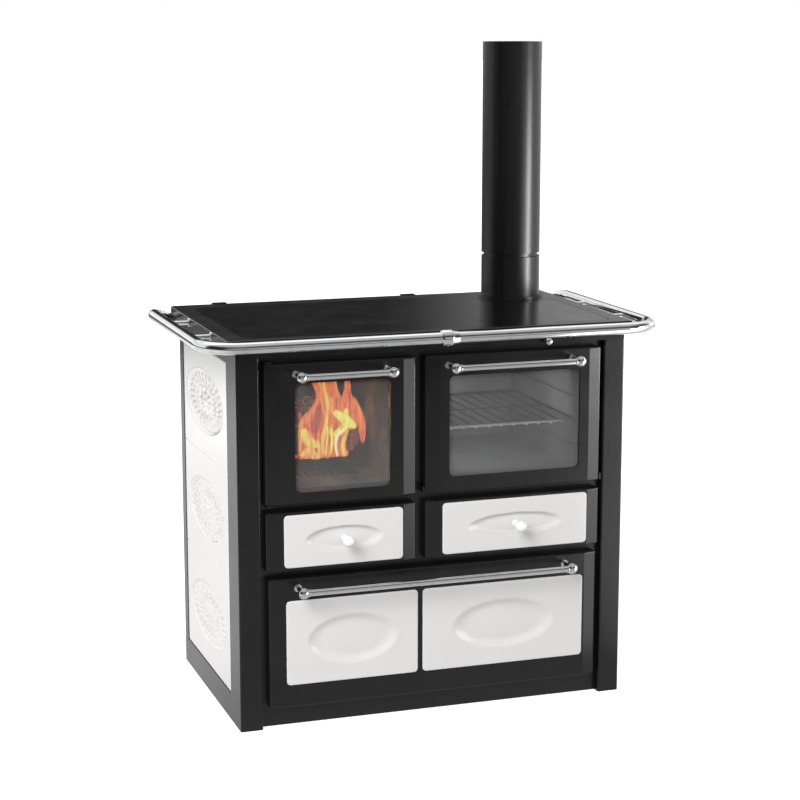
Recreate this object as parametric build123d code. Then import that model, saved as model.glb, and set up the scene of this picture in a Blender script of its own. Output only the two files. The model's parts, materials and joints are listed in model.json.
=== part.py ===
from build123d import *
import os

os.makedirs("parts", exist_ok=True)

# A wood cookstove, in millimetres. X runs to the right, Y to the back, Z up from the floor.
# While the pieces are made, y = 0 is the front face of the corner posts.

# ---- cabinet ----
body_half_width = 446.5
body_depth = 538
post_width = 50
post_depth = 86
post_wall = 3
post_corner_radius = 4
sheet = 2
faceplate_setback = 18
faceplate_thickness = 3
cut_over = 1
face_tolerance = 0.1

# ---- levels of the front, stacked up from the floor ----
plinth_gap = 48
plinth_floor_gap = 1
floor_plate_drop = 5
wood_drawer_height = 289.5
wood_drawer_gap = 16.5
small_drawer_height = 130.5
small_drawer_gap = 16.5
door_height = 305
door_top_gap = 14
skirt_height = 40

# ---- columns of the front ----
door_side_gap = 9.5
wood_drawer_side_gap = 14
centre_x = -37.5
centre_gap = 22

# ---- section shared by doors and drawer fronts ----
edge_setout = 4
flat_setout = 10
left_flank = 33
right_flank = 29.5
front_edge_radius = 4

# ---- doors ----
door_rear = 13
door_rim_width = 22
door_web_rear = 6
glass_thickness = 4
glass_rebate = 8
glass_setback = 7
glass_corner_radius = 13
glass_clearance = 0.5
seal_inset = 8
seal_width = 8
seal_depth = 5
seal_gap = 0.4
firebox_glass_left = 65.9
firebox_glass_right = 58.5
firebox_glass_bottom = 25
firebox_glass_top = 43
oven_glass_left = 54
oven_glass_right = 51.2
oven_glass_bottom = 34.5
oven_glass_top = 46
clip_width = 30
clip_reach = 10
clip_thickness = 2
clip_foot_inset = 1

# ---- hinges ----
hinge_inset = 9.5
hinge_setback = 1
hinge_pin_radius = 4
hinge_pin_engagement = 12
hinge_bore_depth = 14
hinge_bracket_thickness = 5
hinge_bracket_half_width = 7
hinge_bracket_overhang = 6
hinge_seat_gap = 0.3
pin_fit = 0.05

# ---- handles ----
bar_radius = 7
bar_ball_radius = 12.25
bar_standoff = 47
bar_socket_depth = 5
bar_fit = 0.05
stub_radius = 5
rosette_radius = 8.5
rosette_thickness = 3
firebox_handle_left = 68
firebox_handle_right = 67.3
firebox_handle_drop = 22
oven_handle_left = 51
oven_handle_right = 71.8
oven_handle_drop = 21.5
wood_handle_left = 63.5
wood_handle_right = 79.3
wood_handle_drop = 21
knob_radius = 13
knob_standoff = 35
knob_neck_radius = 4
knob_foot_radius = 8
knob_foot_thickness = 2

# ---- drawers ----
drawer_front_rear = 17.5
drawer_skin = 2.5
pan_wall = 2.5
drawer_sheet = 1.5
drawer_opening_inset = 12
drawer_opening_end_inset = 8
mouth_corner_radius = 3
drawer_box_clearance = 2
small_box_height = 88
wood_box_height = 205
ash_box_length = 400
right_box_length = 400
wood_box_length = 485
runner_width = 14
runner_gap = 0.3

# ---- tiles ----
tile_clearance = 1
tile_proud = 1.5
tile_thickness = 7
tile_corner_radius = 9
tile_edge_radius = 2
tile_end_margin = 7
tile_flank_margin_left = 6
tile_flank_margin_right = 1
dish_depth = 3.5
dish_rim = 9
ash_dish_width = 173
ash_dish_height = 55
right_dish_width = 222
right_dish_height = 50
wood_dish_height = 108
wood_left_dish_width = 202
wood_right_dish_width = 236
wood_tile_bottom_margin = 50
wood_tile_top_margin = 50
wood_tile_left_margin = 4.5
wood_tile_right_margin = 4
wood_tile_gap = 11
wood_tile_split = -39
side_tile_front_margin = 87
side_tile_rear_margin = 33
side_tile_bottom = 61
side_tile_top_margin = 20
side_tile_count = 3
side_tile_gap = 2
side_tile_thickness = 9
side_tile_edge_radius = 3
side_tile_setback = 0.8
side_dish_width = 265
side_dish_height = 160
side_frame_thickness = 12

# ---- cooktop ----
top_overhang_side = 18
top_overhang_front = 5
top_overhang_rear = 13
plate_thickness = 8
skirt_thickness = 5
rim_height = 26
top_corner_radius = 8
top_edge_radius = 2.5
ledge_width = 10
ledge_thickness = 8
ledge_weld = 6
hot_plate_left_border = 43
hot_plate_right_border = 38
hot_plate_front_border = 27
hot_plate_rear_border = 53
hot_plate_corner_radius = 28
hot_plate_gap = 1.5
flue_corner_width = 206
flue_corner_depth = 186
hob_x = -187
hob_y = 258
hob_radius = 150
hob_lid_radius = 72
hob_step = 8
hob_gap = 0.8
hob_seat_gap = 0.25
hob_slot_length = 22
hob_slot_width = 8
hob_slot_depth = 3
lug_width = 33
lug_height = 1.5
lug_depth = 13
lug_drop = 15
left_lug_x = -346
right_lug_x = 124

# ---- towel rail ----
rail_radius = 13
rail_wall = 1.5
rail_drop = 10.5
rail_front_y = -44
rail_side_offset = 51.5
rail_end_from_rear = 22
rail_front_bend = 83
rail_rear_bend = 43
rail_joint_x = 8
rail_end_fall = 18
rail_end_trim = 10
rail_ear_half_width = 14
rail_ear_half_height = 17
collar_radius = 18
collar_length = 27
collar_taper_length = 13
collar_edge_radius = 5
collar_taper_step = 1
rail_fit = 0.05
arm_radius = 5
arm_flange_radius = 9.5
arm_flange_thickness = 4
arm_positions = (140, 350)

# ---- flue ----
flue_from_side = 112.3
flue_from_rear = 95
pipe_radius = 70
pipe_wall = 2.5
pipe_length = 498
pipe_socket_radius = 69
pipe_socket_length = 50
flange_radius = 77.5
flange_thickness = 6
collar_top = 100
collar_wall = 3
spigot_length = 40
spigot_fit = 0.3
groove_height = 10
groove_radius = 64.5
pipe_lap = 1

# ---- firebox ----
firebox_mouth_inset = 40
firebox_mouth_bottom = 29
firebox_mouth_top = 28
firebox_wall = 3
firebox_left_clearance = 15
firebox_right_clearance = 22
firebox_depth = 412
shelf_gap_below_doors = 9
floor_brick_thickness = 32
wall_brick_thickness = 25
wall_brick_height = 233
brick_front_setback = 19
brick_joint = 0.3
grate_width = 172
grate_depth = 232
grate_thickness = 12
grate_bar_gap = 10
grate_slots = 8
grate_rim = 12
grate_foot = 14
grate_clearance = 1
ash_hole_inset = 15
log_radius = 36
log_length = 205
log_gap = 10

# ---- oven ----
oven_mouth_inset = 38
oven_mouth_end_inset = 24
oven_depth = 419
ledge_levels = (55, 108, 161)
ledge_reach = 8
rack_level = 1
rack_bar_radius = 3
rack_wire_radius = 2.2
rack_corner_radius = 12
rack_wire_spacing = 31
rack_side_clearance = 2
rack_front_y = 34
rack_length = 372

# ---- smoke path and damper ----
divider_behind_notch = 5
divider_thickness = 3
bypass_half_width = 50
bypass_half_height = 17
damper_inset = 95
damper_drop = 34
damper_rod_radius = 4
damper_hole_radius = 4.15
damper_ball_radius = 8.5
damper_ball_standoff = 17
damper_plate_margin = 7
damper_plate_thickness = 3
damper_seat_gap = 0.3

# ---- firebox latch ----
latch_inset = 29
latch_half_width = 6.5
latch_half_height = 20
latch_tongue_thickness = 4
latch_tongue_half_height = 10
latch_tongue_reach = 17
latch_base_thickness = 3
latch_clearance = 4
latch_slot_margin = 2

# ---- air register in the rear panel ----
register_x = -213
register_z = 428
register_slots = 3
register_slot_width = 14
register_slot_height = 60
register_pitch = 34
register_plate_width = 118
register_plate_height = 84
register_gap = 0.3
register_travel = 17
register_knob_radius = 7
register_knob_length = 12
guide_lip = 5
guide_overrun = 5
rear_panel_bottom = 20

# ---- values worked out from the ones above ----
post_inner = body_half_width - post_width
wood_bottom = plinth_gap
wood_top = wood_bottom + wood_drawer_height
small_bottom = wood_top + wood_drawer_gap
small_top = small_bottom + small_drawer_height
door_bottom = small_top + small_drawer_gap
door_top = door_bottom + door_height
skirt_bottom = door_top + door_top_gap
top_z = skirt_bottom + skirt_height
rim_bottom = top_z - rim_height
body_top = top_z - plate_thickness - ledge_thickness
edge_y = -edge_setout
flat_y = -flat_setout
faceplate_y = faceplate_setback
inside_front = faceplate_setback + faceplate_thickness
top_front = -top_overhang_front
top_rear = body_depth + top_overhang_rear
top_half_width = body_half_width + top_overhang_side
rail_z = top_z - rail_drop
rail_end_y = top_rear - rail_end_from_rear
rail_end_z = rail_z - rail_end_fall
flue_x = top_half_width - flue_from_side
flue_y = top_rear - flue_from_rear
divider_y = top_rear - flue_corner_depth + divider_behind_notch
bar_y = flat_y - bar_standoff
knob_y = flat_y - knob_standoff
floor_plate_z = plinth_gap - floor_plate_drop
lower_shelf_z = wood_top + wood_drawer_gap / 2
upper_shelf_z = door_bottom - shelf_gap_below_doors
rear_inner = body_depth - sheet
overall_front = bar_y - bar_ball_radius
overall_rear = body_depth + top_overhang_rear + lug_depth
origin_y = (overall_front + overall_rear) / 2


class Field:
    """A rectangle on the front of the stove, from x0 to x1 and from z0 to z1."""

    def __init__(self, x0, x1, z0, z1):
        self.x0 = x0
        self.x1 = x1
        self.z0 = z0
        self.z1 = z1
        self.width = x1 - x0
        self.height = z1 - z0
        self.mid_x = (x0 + x1) / 2
        self.mid_z = (z0 + z1) / 2

    def inset(self, sides, ends=None):
        ends = sides if ends is None else ends
        return Field(self.x0 + sides, self.x1 - sides, self.z0 + ends, self.z1 - ends)

    def margins(self, left, right, bottom, top):
        return Field(self.x0 + left, self.x1 - right, self.z0 + bottom, self.z1 - top)


firebox_field = Field(-post_inner + door_side_gap, centre_x - centre_gap / 2, door_bottom, door_top)
oven_field = Field(centre_x + centre_gap / 2, post_inner - door_side_gap, door_bottom, door_top)
ash_field = Field(firebox_field.x0, firebox_field.x1, small_bottom, small_top)
right_field = Field(oven_field.x0, oven_field.x1, small_bottom, small_top)
wood_field = Field(-post_inner + wood_drawer_side_gap, post_inner - wood_drawer_side_gap,
                   wood_bottom, wood_top)

firebox_glass_field = firebox_field.margins(firebox_glass_left, firebox_glass_right,
                                            firebox_glass_bottom, firebox_glass_top)
oven_glass_field = oven_field.margins(oven_glass_left, oven_glass_right,
                                      oven_glass_bottom, oven_glass_top)
firebox_mouth = firebox_field.margins(firebox_mouth_inset, firebox_mouth_inset,
                                      firebox_mouth_bottom, firebox_mouth_top)
oven_mouth = oven_field.inset(oven_mouth_inset, oven_mouth_end_inset)
ash_opening = ash_field.inset(drawer_opening_inset, drawer_opening_end_inset)
right_opening = right_field.inset(drawer_opening_inset, drawer_opening_end_inset)
wood_opening = wood_field.inset(drawer_opening_inset, drawer_opening_end_inset)
damper_x = oven_mouth.x1 - damper_inset


# ---- shapes used by several pieces ----

def block(x0, x1, y0, y1, z0, z1):
    middle = Pos((x0 + x1) / 2, (y0 + y1) / 2, (z0 + z1) / 2)
    return middle * Box(x1 - x0, y1 - y0, z1 - z0)


def slab(field, y0, y1, radius=0):
    """A plate facing the front, from y0 to y1, with rounded corners where a radius is given."""
    plane = Plane((field.mid_x, y1, field.mid_z), x_dir=(1, 0, 0), z_dir=(0, -1, 0))
    if radius > 0:
        outline = RectangleRounded(field.width, field.height, radius)
    else:
        outline = Rectangle(field.width, field.height)
    return extrude(plane * outline, amount=y1 - y0)


def rod(start, end, radius):
    """A round bar between two points."""
    line = Vector(*end) - Vector(*start)
    plane = Plane(origin=start, z_dir=line)
    return extrude(plane * Circle(radius), amount=line.length)


def group(solids):
    """Separate solids kept side by side in one node."""
    return Compound(list(solids))


def plan_prism(points, z0, z1):
    outline = make_face(Polyline(*points, close=True))
    return extrude(Pos(0, 0, z0) * outline, amount=z1 - z0)


def front_profile(field, rear, skin=0):
    """Plan of a door or drawer front: a flat middle between two flanks that slope back."""
    flat0 = field.x0 + left_flank
    flat1 = field.x1 - right_flank
    return [(field.x0 + skin, rear), (field.x0 + skin, edge_y + skin), (flat0, flat_y + skin),
            (flat1, flat_y + skin), (field.x1 - skin, edge_y + skin), (field.x1 - skin, rear)]


def front_body(field, rear):
    """The outer form of a door or drawer front, with every front edge rounded."""
    body = plan_prism(front_profile(field, rear), field.z0, field.z1)
    flats = (field.x0 + left_flank, field.x1 - right_flank)

    def is_rounded(edge):
        middle = edge.center()
        if middle.Y > rear - face_tolerance:
            return False
        upright = abs(middle.Z - field.mid_z) < face_tolerance
        return not (upright and min(abs(middle.X - x) for x in flats) < face_tolerance)

    return fillet([edge for edge in body.edges() if is_rounded(edge)], front_edge_radius)


def dish(width, height, depth, rim):
    """An oval hollow that opens on the plane z = 0 and narrows to its floor at -depth."""
    grow = cut_over * rim / depth
    mouth = Pos(0, 0, cut_over) * Ellipse(width / 2 + grow, height / 2 + grow)
    floor = Pos(0, 0, -depth) * Ellipse(width / 2 - rim, height / 2 - rim)
    return loft([floor, mouth])


def front_tile(field, dish_width, dish_height):
    """A glazed tile with a shallow oval dish, set into a drawer front."""
    front = flat_y - tile_proud
    tile = slab(field, front, front + tile_thickness, tile_corner_radius)
    front_edges = tile.edges().filter_by(lambda edge: edge.center().Y < front + face_tolerance)
    tile = fillet(front_edges, tile_edge_radius)
    facing = Plane((field.mid_x, front, field.mid_z), x_dir=(1, 0, 0), z_dir=(0, -1, 0))
    return tile - facing * dish(dish_width, dish_height, dish_depth, dish_rim)


def handle(field, left, right, drop):
    """A straight bar between two ball ends, each on a stub with a rosette."""
    z = field.z1 - drop
    ends = (field.x0 + left, field.x1 - right)
    posts = []
    for x, inward in zip(ends, (1, -1)):
        post = rod((x, flat_y, z), (x, flat_y - rosette_thickness, z), rosette_radius)
        post += rod((x, flat_y, z), (x, bar_y, z), stub_radius)
        post += Pos(x, bar_y, z) * Sphere(bar_ball_radius)
        socket = (x + inward * (bar_ball_radius - bar_socket_depth), bar_y, z)
        post -= rod(socket, (x + inward * 2 * bar_ball_radius, bar_y, z), bar_radius)
        posts.append(post)
    reach = bar_ball_radius - bar_socket_depth
    reach += bar_fit
    bar = rod((ends[0] + reach, bar_y, z), (ends[1] - reach, bar_y, z), bar_radius - bar_fit)
    return bar, group(posts)


# ---- doors ----

def door_frame(field, glass_field):
    """Cast door: rim with a rope groove, thinner web, window with a rebate for the glass."""
    frame = front_body(field, door_rear)
    frame -= slab(field.inset(door_rim_width), door_web_rear, door_rear + cut_over)
    groove_front = door_rear - seal_depth
    groove = slab(field.inset(seal_inset), groove_front, door_rear + cut_over)
    groove -= slab(field.inset(seal_inset + seal_width), groove_front, door_rear + cut_over)
    frame -= groove
    frame -= slab(glass_field, flat_y - cut_over, door_rear, glass_corner_radius)
    rebate = glass_field.inset(-glass_rebate)
    frame -= slab(rebate, flat_y + glass_setback, door_rear, glass_corner_radius + glass_rebate)
    return frame


def door_glass(glass_field):
    front = flat_y + glass_setback
    pane = glass_field.inset(-glass_rebate + glass_clearance)
    return slab(pane, front, front + glass_thickness, glass_corner_radius + glass_rebate)


def door_seal(field):
    front = door_rear - seal_depth
    rear = faceplate_y - seal_gap
    rope = slab(field.inset(seal_inset), front, rear)
    return rope - slab(field.inset(seal_inset + seal_width), front, rear)


def glass_clips(glass_field):
    """Four spring clips screwed to the web; each has a foot that bears on the glass."""
    glass_rear = flat_y + glass_setback + glass_thickness
    pane_top = glass_field.z1 + glass_rebate
    pane_bottom = glass_field.z0 - glass_rebate
    pane_sides = ((glass_field.x0 - glass_rebate, -1), (glass_field.x1 + glass_rebate, 1))
    clips = []
    for x, outward in pane_sides:
        for z in (pane_bottom + glass_field.height / 4, pane_top - glass_field.height / 4):
            z0 = z - clip_width / 2
            z1 = z + clip_width / 2
            outer = x + outward * clip_reach
            inner = x - outward * (glass_rebate - clip_foot_inset)
            foot = x - outward * clip_foot_inset
            x0, x1 = sorted((inner, outer))
            strap = block(x0, x1, door_web_rear, door_web_rear + clip_thickness, z0, z1)
            x0, x1 = sorted((inner, foot))
            strap += block(x0, x1, glass_rear, door_web_rear + clip_thickness, z0, z1)
            clips.append(strap)
    return group(clips)


def firebox_door_pieces():
    field = firebox_field
    hinge_x = field.x0 + hinge_inset
    frame = door_frame(field, firebox_glass_field)
    bore_radius = hinge_pin_radius + pin_fit
    for z, inward in ((field.z0, 1), (field.z1, -1)):
        start = (hinge_x, hinge_setback, z - inward * cut_over)
        end = (hinge_x, hinge_setback, z + inward * hinge_bore_depth)
        frame -= rod(start, end, bore_radius)
    bar, posts = handle(field, firebox_handle_left, firebox_handle_right, firebox_handle_drop)
    latch_x = field.x1 - latch_inset
    half_tongue = latch_tongue_thickness / 2
    tongue_front = door_web_rear + latch_base_thickness
    latch = block(latch_x - latch_half_width, latch_x + latch_half_width, door_web_rear,
                  tongue_front, field.mid_z - latch_half_height, field.mid_z + latch_half_height)
    latch += block(latch_x - half_tongue, latch_x + half_tongue, tongue_front,
                   tongue_front + latch_tongue_reach, field.mid_z - latch_tongue_half_height,
                   field.mid_z + latch_tongue_half_height)
    return {
        "firebox_door_frame": frame,
        "firebox_glass": door_glass(firebox_glass_field),
        "firebox_seal": door_seal(field),
        "firebox_glass_clips": glass_clips(firebox_glass_field),
        "firebox_handle_bar": bar,
        "firebox_handle_posts": posts,
        "firebox_latch": latch,
    }


def oven_door_pieces():
    field = oven_field
    hinge_z = field.z0 + hinge_inset
    frame = door_frame(field, oven_glass_field)
    bore_radius = hinge_pin_radius + pin_fit
    for x, inward in ((field.x0, 1), (field.x1, -1)):
        start = (x - inward * cut_over, hinge_setback, hinge_z)
        end = (x + inward * hinge_bore_depth, hinge_setback, hinge_z)
        frame -= rod(start, end, bore_radius)
    bar, posts = handle(field, oven_handle_left, oven_handle_right, oven_handle_drop)
    return {
        "oven_door_frame": frame,
        "oven_glass": door_glass(oven_glass_field),
        "oven_seal": door_seal(field),
        "oven_glass_clips": glass_clips(oven_glass_field),
        "oven_handle_bar": bar,
        "oven_handle_posts": posts,
    }


def firebox_hinge():
    """Two brackets on the front plate, with the pins that the firebox door turns on."""
    field = firebox_field
    x = field.x0 + hinge_inset
    y0 = hinge_setback - hinge_bracket_overhang
    brackets = []
    for z, inward in ((field.z0, 1), (field.z1, -1)):
        near = z - inward * hinge_seat_gap
        far = near - inward * hinge_bracket_thickness
        z0, z1 = sorted((near, far))
        bracket = block(x - hinge_bracket_half_width, x + hinge_bracket_half_width,
                        y0, faceplate_y, z0, z1)
        tip = z + inward * hinge_pin_engagement
        bracket += rod((x, hinge_setback, far), (x, hinge_setback, tip), hinge_pin_radius)
        brackets.append(bracket)
    return group(brackets)


def oven_hinge():
    """Two brackets beside the oven door, with the pins at its lower edge."""
    field = oven_field
    z = field.z0 + hinge_inset
    y0 = hinge_setback - hinge_bracket_overhang
    brackets = []
    for x, inward in ((field.x0, 1), (field.x1, -1)):
        near = x - inward * hinge_seat_gap
        far = near - inward * hinge_bracket_thickness
        x0, x1 = sorted((near, far))
        bracket = block(x0, x1, y0, faceplate_y, z - hinge_bracket_half_width,
                        z + hinge_bracket_half_width)
        tip = x + inward * hinge_pin_engagement
        bracket += rod((far, hinge_setback, z), (tip, hinge_setback, z), hinge_pin_radius)
        brackets.append(bracket)
    return group(brackets)


# ---- drawers ----

def drawer_front(field, tiles):
    """Folded steel front with a pan behind each tile."""
    pocket_floor = flat_y - tile_proud + tile_thickness
    front = front_body(field, drawer_front_rear)
    hollow = plan_prism(front_profile(field, drawer_front_rear + cut_over, drawer_skin),
                        field.z0 + drawer_skin, field.z1 - drawer_skin)
    front -= hollow
    for tile in tiles:
        pan = tile.inset(-tile_clearance - pan_wall)
        front += slab(pan, flat_y + drawer_skin / 2, pocket_floor + pan_wall)
        pocket = tile.inset(-tile_clearance)
        front -= slab(pocket, flat_y - cut_over, pocket_floor, tile_corner_radius)
    return front


def drawer_box(opening, length, height):
    """Open-topped sheet box that hangs behind a drawer front and passes the opening."""
    front = flat_y - tile_proud + tile_thickness + pan_wall
    outer = opening.inset(drawer_box_clearance)
    wall = drawer_sheet
    box = block(outer.x0, outer.x1, front, front + length, outer.z0, outer.z0 + height)
    return box - block(outer.x0 + wall, outer.x1 - wall, front + wall, front + length - wall,
                       outer.z0 + wall, outer.z0 + height + cut_over)


def round_knob(field):
    """A ball knob on a neck that stands on the floor of the tile's dish."""
    seat_y = flat_y - tile_proud + dish_depth
    x = field.mid_x
    z = field.mid_z
    knob = Pos(x, knob_y, z) * Sphere(knob_radius)
    knob += rod((x, seat_y, z), (x, knob_y, z), knob_neck_radius)
    knob += rod((x, seat_y, z), (x, seat_y - knob_foot_thickness, z), knob_foot_radius)
    return knob


def small_tile_field(field):
    return field.margins(left_flank + tile_flank_margin_left, right_flank + tile_flank_margin_right,
                         tile_end_margin, tile_end_margin)


def small_drawer_pieces(name, field, opening, length, dish_width, dish_height):
    tile_field = small_tile_field(field)
    return {
        name + "_front": drawer_front(field, [tile_field]),
        name + "_tile": front_tile(tile_field, dish_width, dish_height),
        name + "_knob": round_knob(tile_field),
        name + "_box": drawer_box(opening, length, small_box_height),
    }


def wood_drawer_pieces():
    field = wood_field
    tiled = field.margins(left_flank + wood_tile_left_margin, right_flank + wood_tile_right_margin,
                          wood_tile_bottom_margin, wood_tile_top_margin)
    left = Field(tiled.x0, wood_tile_split - wood_tile_gap / 2, tiled.z0, tiled.z1)
    right = Field(wood_tile_split + wood_tile_gap / 2, tiled.x1, tiled.z0, tiled.z1)
    bar, posts = handle(field, wood_handle_left, wood_handle_right, wood_handle_drop)
    return {
        "wood_drawer_front": drawer_front(field, [left, right]),
        "wood_drawer_tiles": group([front_tile(left, wood_left_dish_width, wood_dish_height),
                                    front_tile(right, wood_right_dish_width, wood_dish_height)]),
        "wood_drawer_handle_bar": bar,
        "wood_drawer_handle_posts": posts,
        "wood_drawer_box": drawer_box(wood_opening, wood_box_length, wood_box_height),
    }


def drawer_runners():
    """Six folded angles; each drawer box slides on the flanges of two of them."""
    levels = ((ash_opening, lower_shelf_z + sheet / 2), (right_opening, lower_shelf_z + sheet / 2),
              (wood_opening, floor_plate_z))
    runners = []
    for opening, carrier in levels:
        box = opening.inset(drawer_box_clearance)
        flange = box.z0 - runner_gap
        for x, inward in ((box.x0, 1), (box.x1, -1)):
            x0, x1 = sorted((x, x + inward * runner_width))
            runner = block(x0, x1, inside_front, rear_inner, flange - sheet, flange)
            x0, x1 = sorted((x, x + inward * sheet))
            runner += block(x0, x1, inside_front, rear_inner, carrier, flange)
            runners.append(runner)
    return group(runners)


# ---- cabinet ----

def corner_post(side):
    """Hollow post with rounded outer edges; side is -1 on the left and 1 on the right."""
    outer = block(post_inner, body_half_width, 0, post_depth, 0, body_top)
    front_edges = [edge for edge in outer.edges() if edge.center().Y < face_tolerance
                   and abs(edge.center().Z - body_top / 2) < face_tolerance]
    outer = fillet(front_edges, post_corner_radius)
    outer -= block(post_inner + post_wall, body_half_width - post_wall, post_wall,
                   post_depth - post_wall, -cut_over, body_top + cut_over)
    return outer if side > 0 else mirror(outer, Plane.YZ)


def side_tile_spans():
    bottom = side_tile_bottom
    top = skirt_bottom - side_tile_top_margin
    height = (top - bottom) / side_tile_count
    return [(bottom + n * height + side_tile_gap / 2, bottom + (n + 1) * height - side_tile_gap / 2)
            for n in range(side_tile_count)]


def side_frame(side):
    """Sheet-steel side with a shallow tray that holds the tiles."""
    outer_x = body_half_width
    inner_x = body_half_width - side_frame_thickness
    tray_front = side_tile_front_margin
    tray_rear = body_depth - side_tile_rear_margin
    tray_bottom = side_tile_bottom
    tray_top = skirt_bottom - side_tile_top_margin
    frame = block(inner_x, outer_x, post_depth, body_depth, 0, body_top)
    tray_floor = inner_x + sheet
    frame -= block(tray_floor, outer_x + cut_over, tray_front, tray_rear, tray_bottom, tray_top)
    skin = outer_x - sheet
    frame -= block(inner_x - cut_over, skin, tray_rear + sheet, rear_inner, sheet, body_top - sheet)
    frame -= block(inner_x - cut_over, skin, post_depth + sheet, tray_rear, sheet,
                   tray_bottom - sheet)
    frame -= block(inner_x - cut_over, skin, post_depth + sheet, tray_rear, tray_top + sheet,
                   body_top - sheet)
    return frame if side > 0 else mirror(frame, Plane.YZ)


def side_tiles(side):
    """The tiles of one side, each with a lying oval dish."""
    front = side_tile_front_margin + side_tile_gap / 2
    rear = body_depth - side_tile_rear_margin - side_tile_gap / 2
    face_x = body_half_width - side_tile_setback
    floor_x = face_x - side_tile_thickness
    tiles = []
    for z0, z1 in side_tile_spans():
        tile = block(floor_x, face_x, front, rear, z0, z1)
        face_edges = [edge for edge in tile.edges() if edge.center().X > face_x - face_tolerance]
        tile = fillet(face_edges, side_tile_edge_radius)
        facing = Plane((face_x, (front + rear) / 2, (z0 + z1) / 2), x_dir=(0, 1, 0), z_dir=(1, 0, 0))
        tile -= facing * dish(side_dish_width, side_dish_height, dish_depth, dish_rim)
        tiles.append(tile if side > 0 else mirror(tile, Plane.YZ))
    return group(tiles)


def front_faceplate():
    """The plate behind the doors and drawers, with a mouth for each of them."""
    plate = slab(Field(-post_inner, post_inner, floor_plate_z, body_top), faceplate_y, inside_front)
    for opening in (firebox_mouth, oven_mouth, ash_opening, right_opening, wood_opening):
        plate -= slab(opening, faceplate_y - cut_over, inside_front + cut_over, mouth_corner_radius)
    latch_x = firebox_field.x1 - latch_inset
    latch_slot = Field(latch_x - latch_tongue_thickness / 2 - latch_slot_margin,
                       latch_x + latch_tongue_thickness / 2 + latch_clearance,
                       firebox_field.mid_z - latch_tongue_half_height - latch_clearance,
                       firebox_field.mid_z + latch_tongue_half_height + latch_clearance)
    plate -= slab(latch_slot, faceplate_y - cut_over, inside_front + cut_over)
    rod_z = top_z - damper_drop
    plate -= rod((damper_x, faceplate_y - cut_over, rod_z),
                 (damper_x, inside_front + cut_over, rod_z), damper_hole_radius)
    return plate


def deck(z0, z1):
    """A level sheet that fills the cabinet between the side frames and round the posts."""
    half = body_half_width - side_frame_thickness
    front = block(-post_inner, post_inner, inside_front, post_depth, z0, z1)
    return front + block(-half, half, post_depth, rear_inner, z0, z1)


def base_pan():
    """Floor plate of the wood drawer's space, folded down at the front as the plinth."""
    pan = deck(floor_plate_z - sheet, floor_plate_z)
    return pan + block(-post_inner, post_inner, faceplate_y, inside_front, plinth_floor_gap,
                       floor_plate_z)


def cabinet_shelves():
    lower = deck(lower_shelf_z - sheet / 2, lower_shelf_z + sheet / 2)
    upper = deck(upper_shelf_z - sheet, upper_shelf_z)
    hole = grate_field().inset(ash_hole_inset)
    y_mid = grate_mid_y()
    half_depth = grate_depth / 2 - ash_hole_inset
    upper -= block(hole.x0, hole.x1, y_mid - half_depth, y_mid + half_depth,
                   upper_shelf_z - sheet - cut_over, upper_shelf_z + cut_over)
    return group([lower, upper])


def centre_walls():
    x0 = centre_x - sheet / 2
    x1 = centre_x + sheet / 2
    lower = block(x0, x1, inside_front, rear_inner, lower_shelf_z + sheet / 2,
                  upper_shelf_z - sheet)
    upper = block(x0, x1, inside_front, rear_inner, upper_shelf_z, oven_mouth.z1 + sheet)
    return group([lower, upper])


def rear_panel():
    """Rear sheet with the air slots, and two lipped guides that hold the air register."""
    half = body_half_width - side_frame_thickness
    field = Field(-half, half, rear_panel_bottom, body_top)
    panel = slab(field, rear_inner, body_depth)
    for n in range(register_slots):
        x = register_x + (n - (register_slots - 1) / 2) * register_pitch
        slot = Field(x - register_slot_width / 2, x + register_slot_width / 2,
                     register_z - register_slot_height / 2, register_z + register_slot_height / 2)
        panel -= slab(slot, rear_inner - cut_over, body_depth + cut_over)
    plate_front = body_depth + register_gap
    lip_front = plate_front + sheet + register_gap
    length = register_plate_width + register_travel + 2 * guide_overrun
    x0 = register_x - register_plate_width / 2 - guide_overrun
    guides = []
    for up in (1, -1):
        edge = register_z + up * (register_plate_height / 2 + register_gap)
        z0, z1 = sorted((edge, edge + up * guide_lip))
        guide = block(x0, x0 + length, body_depth, lip_front + sheet, z0, z1)
        z0, z1 = sorted((edge - up * guide_lip, edge + up * guide_lip))
        guide += block(x0, x0 + length, lip_front, lip_front + sheet, z0, z1)
        guides.append(guide)
    return group([panel] + guides)


def air_register():
    """Slotted shutter that slides across the air slots, with a small grip."""
    plate = Field(register_x - register_plate_width / 2, register_x + register_plate_width / 2,
                  register_z - register_plate_height / 2, register_z + register_plate_height / 2)
    y0 = body_depth + register_gap
    shutter = slab(plate, y0, y0 + sheet)
    for n in range(register_slots):
        x = register_x + (n - (register_slots - 1) / 2) * register_pitch - register_travel
        slot = Field(x - register_slot_width / 2, x + register_slot_width / 2,
                     register_z - register_slot_height / 2, register_z + register_slot_height / 2)
        shutter -= slab(slot, y0 - cut_over, y0 + sheet + cut_over)
    grip_z = register_z
    shutter += rod((register_x, y0 + sheet, grip_z),
                   (register_x, y0 + sheet + register_knob_length, grip_z), register_knob_radius)
    return shutter


# ---- cooktop ----

def plate_outline(grow):
    """Outline of the hot plate, with a corner left out for the flue; grow moves its edge out."""
    x0 = -top_half_width + hot_plate_left_border - grow
    x1 = top_half_width - hot_plate_right_border + grow
    y0 = top_front + hot_plate_front_border - grow
    y1 = top_rear - hot_plate_rear_border + grow
    notch_x = top_half_width - flue_corner_width + grow
    notch_y = top_rear - flue_corner_depth + grow
    points = [(x0, y0), (x1, y0), (x1, notch_y), (notch_x, notch_y), (notch_x, y1), (x0, y1)]
    outline = make_face(Polyline(*points, close=True))
    return fillet(outline.vertices(), hot_plate_corner_radius)


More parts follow.
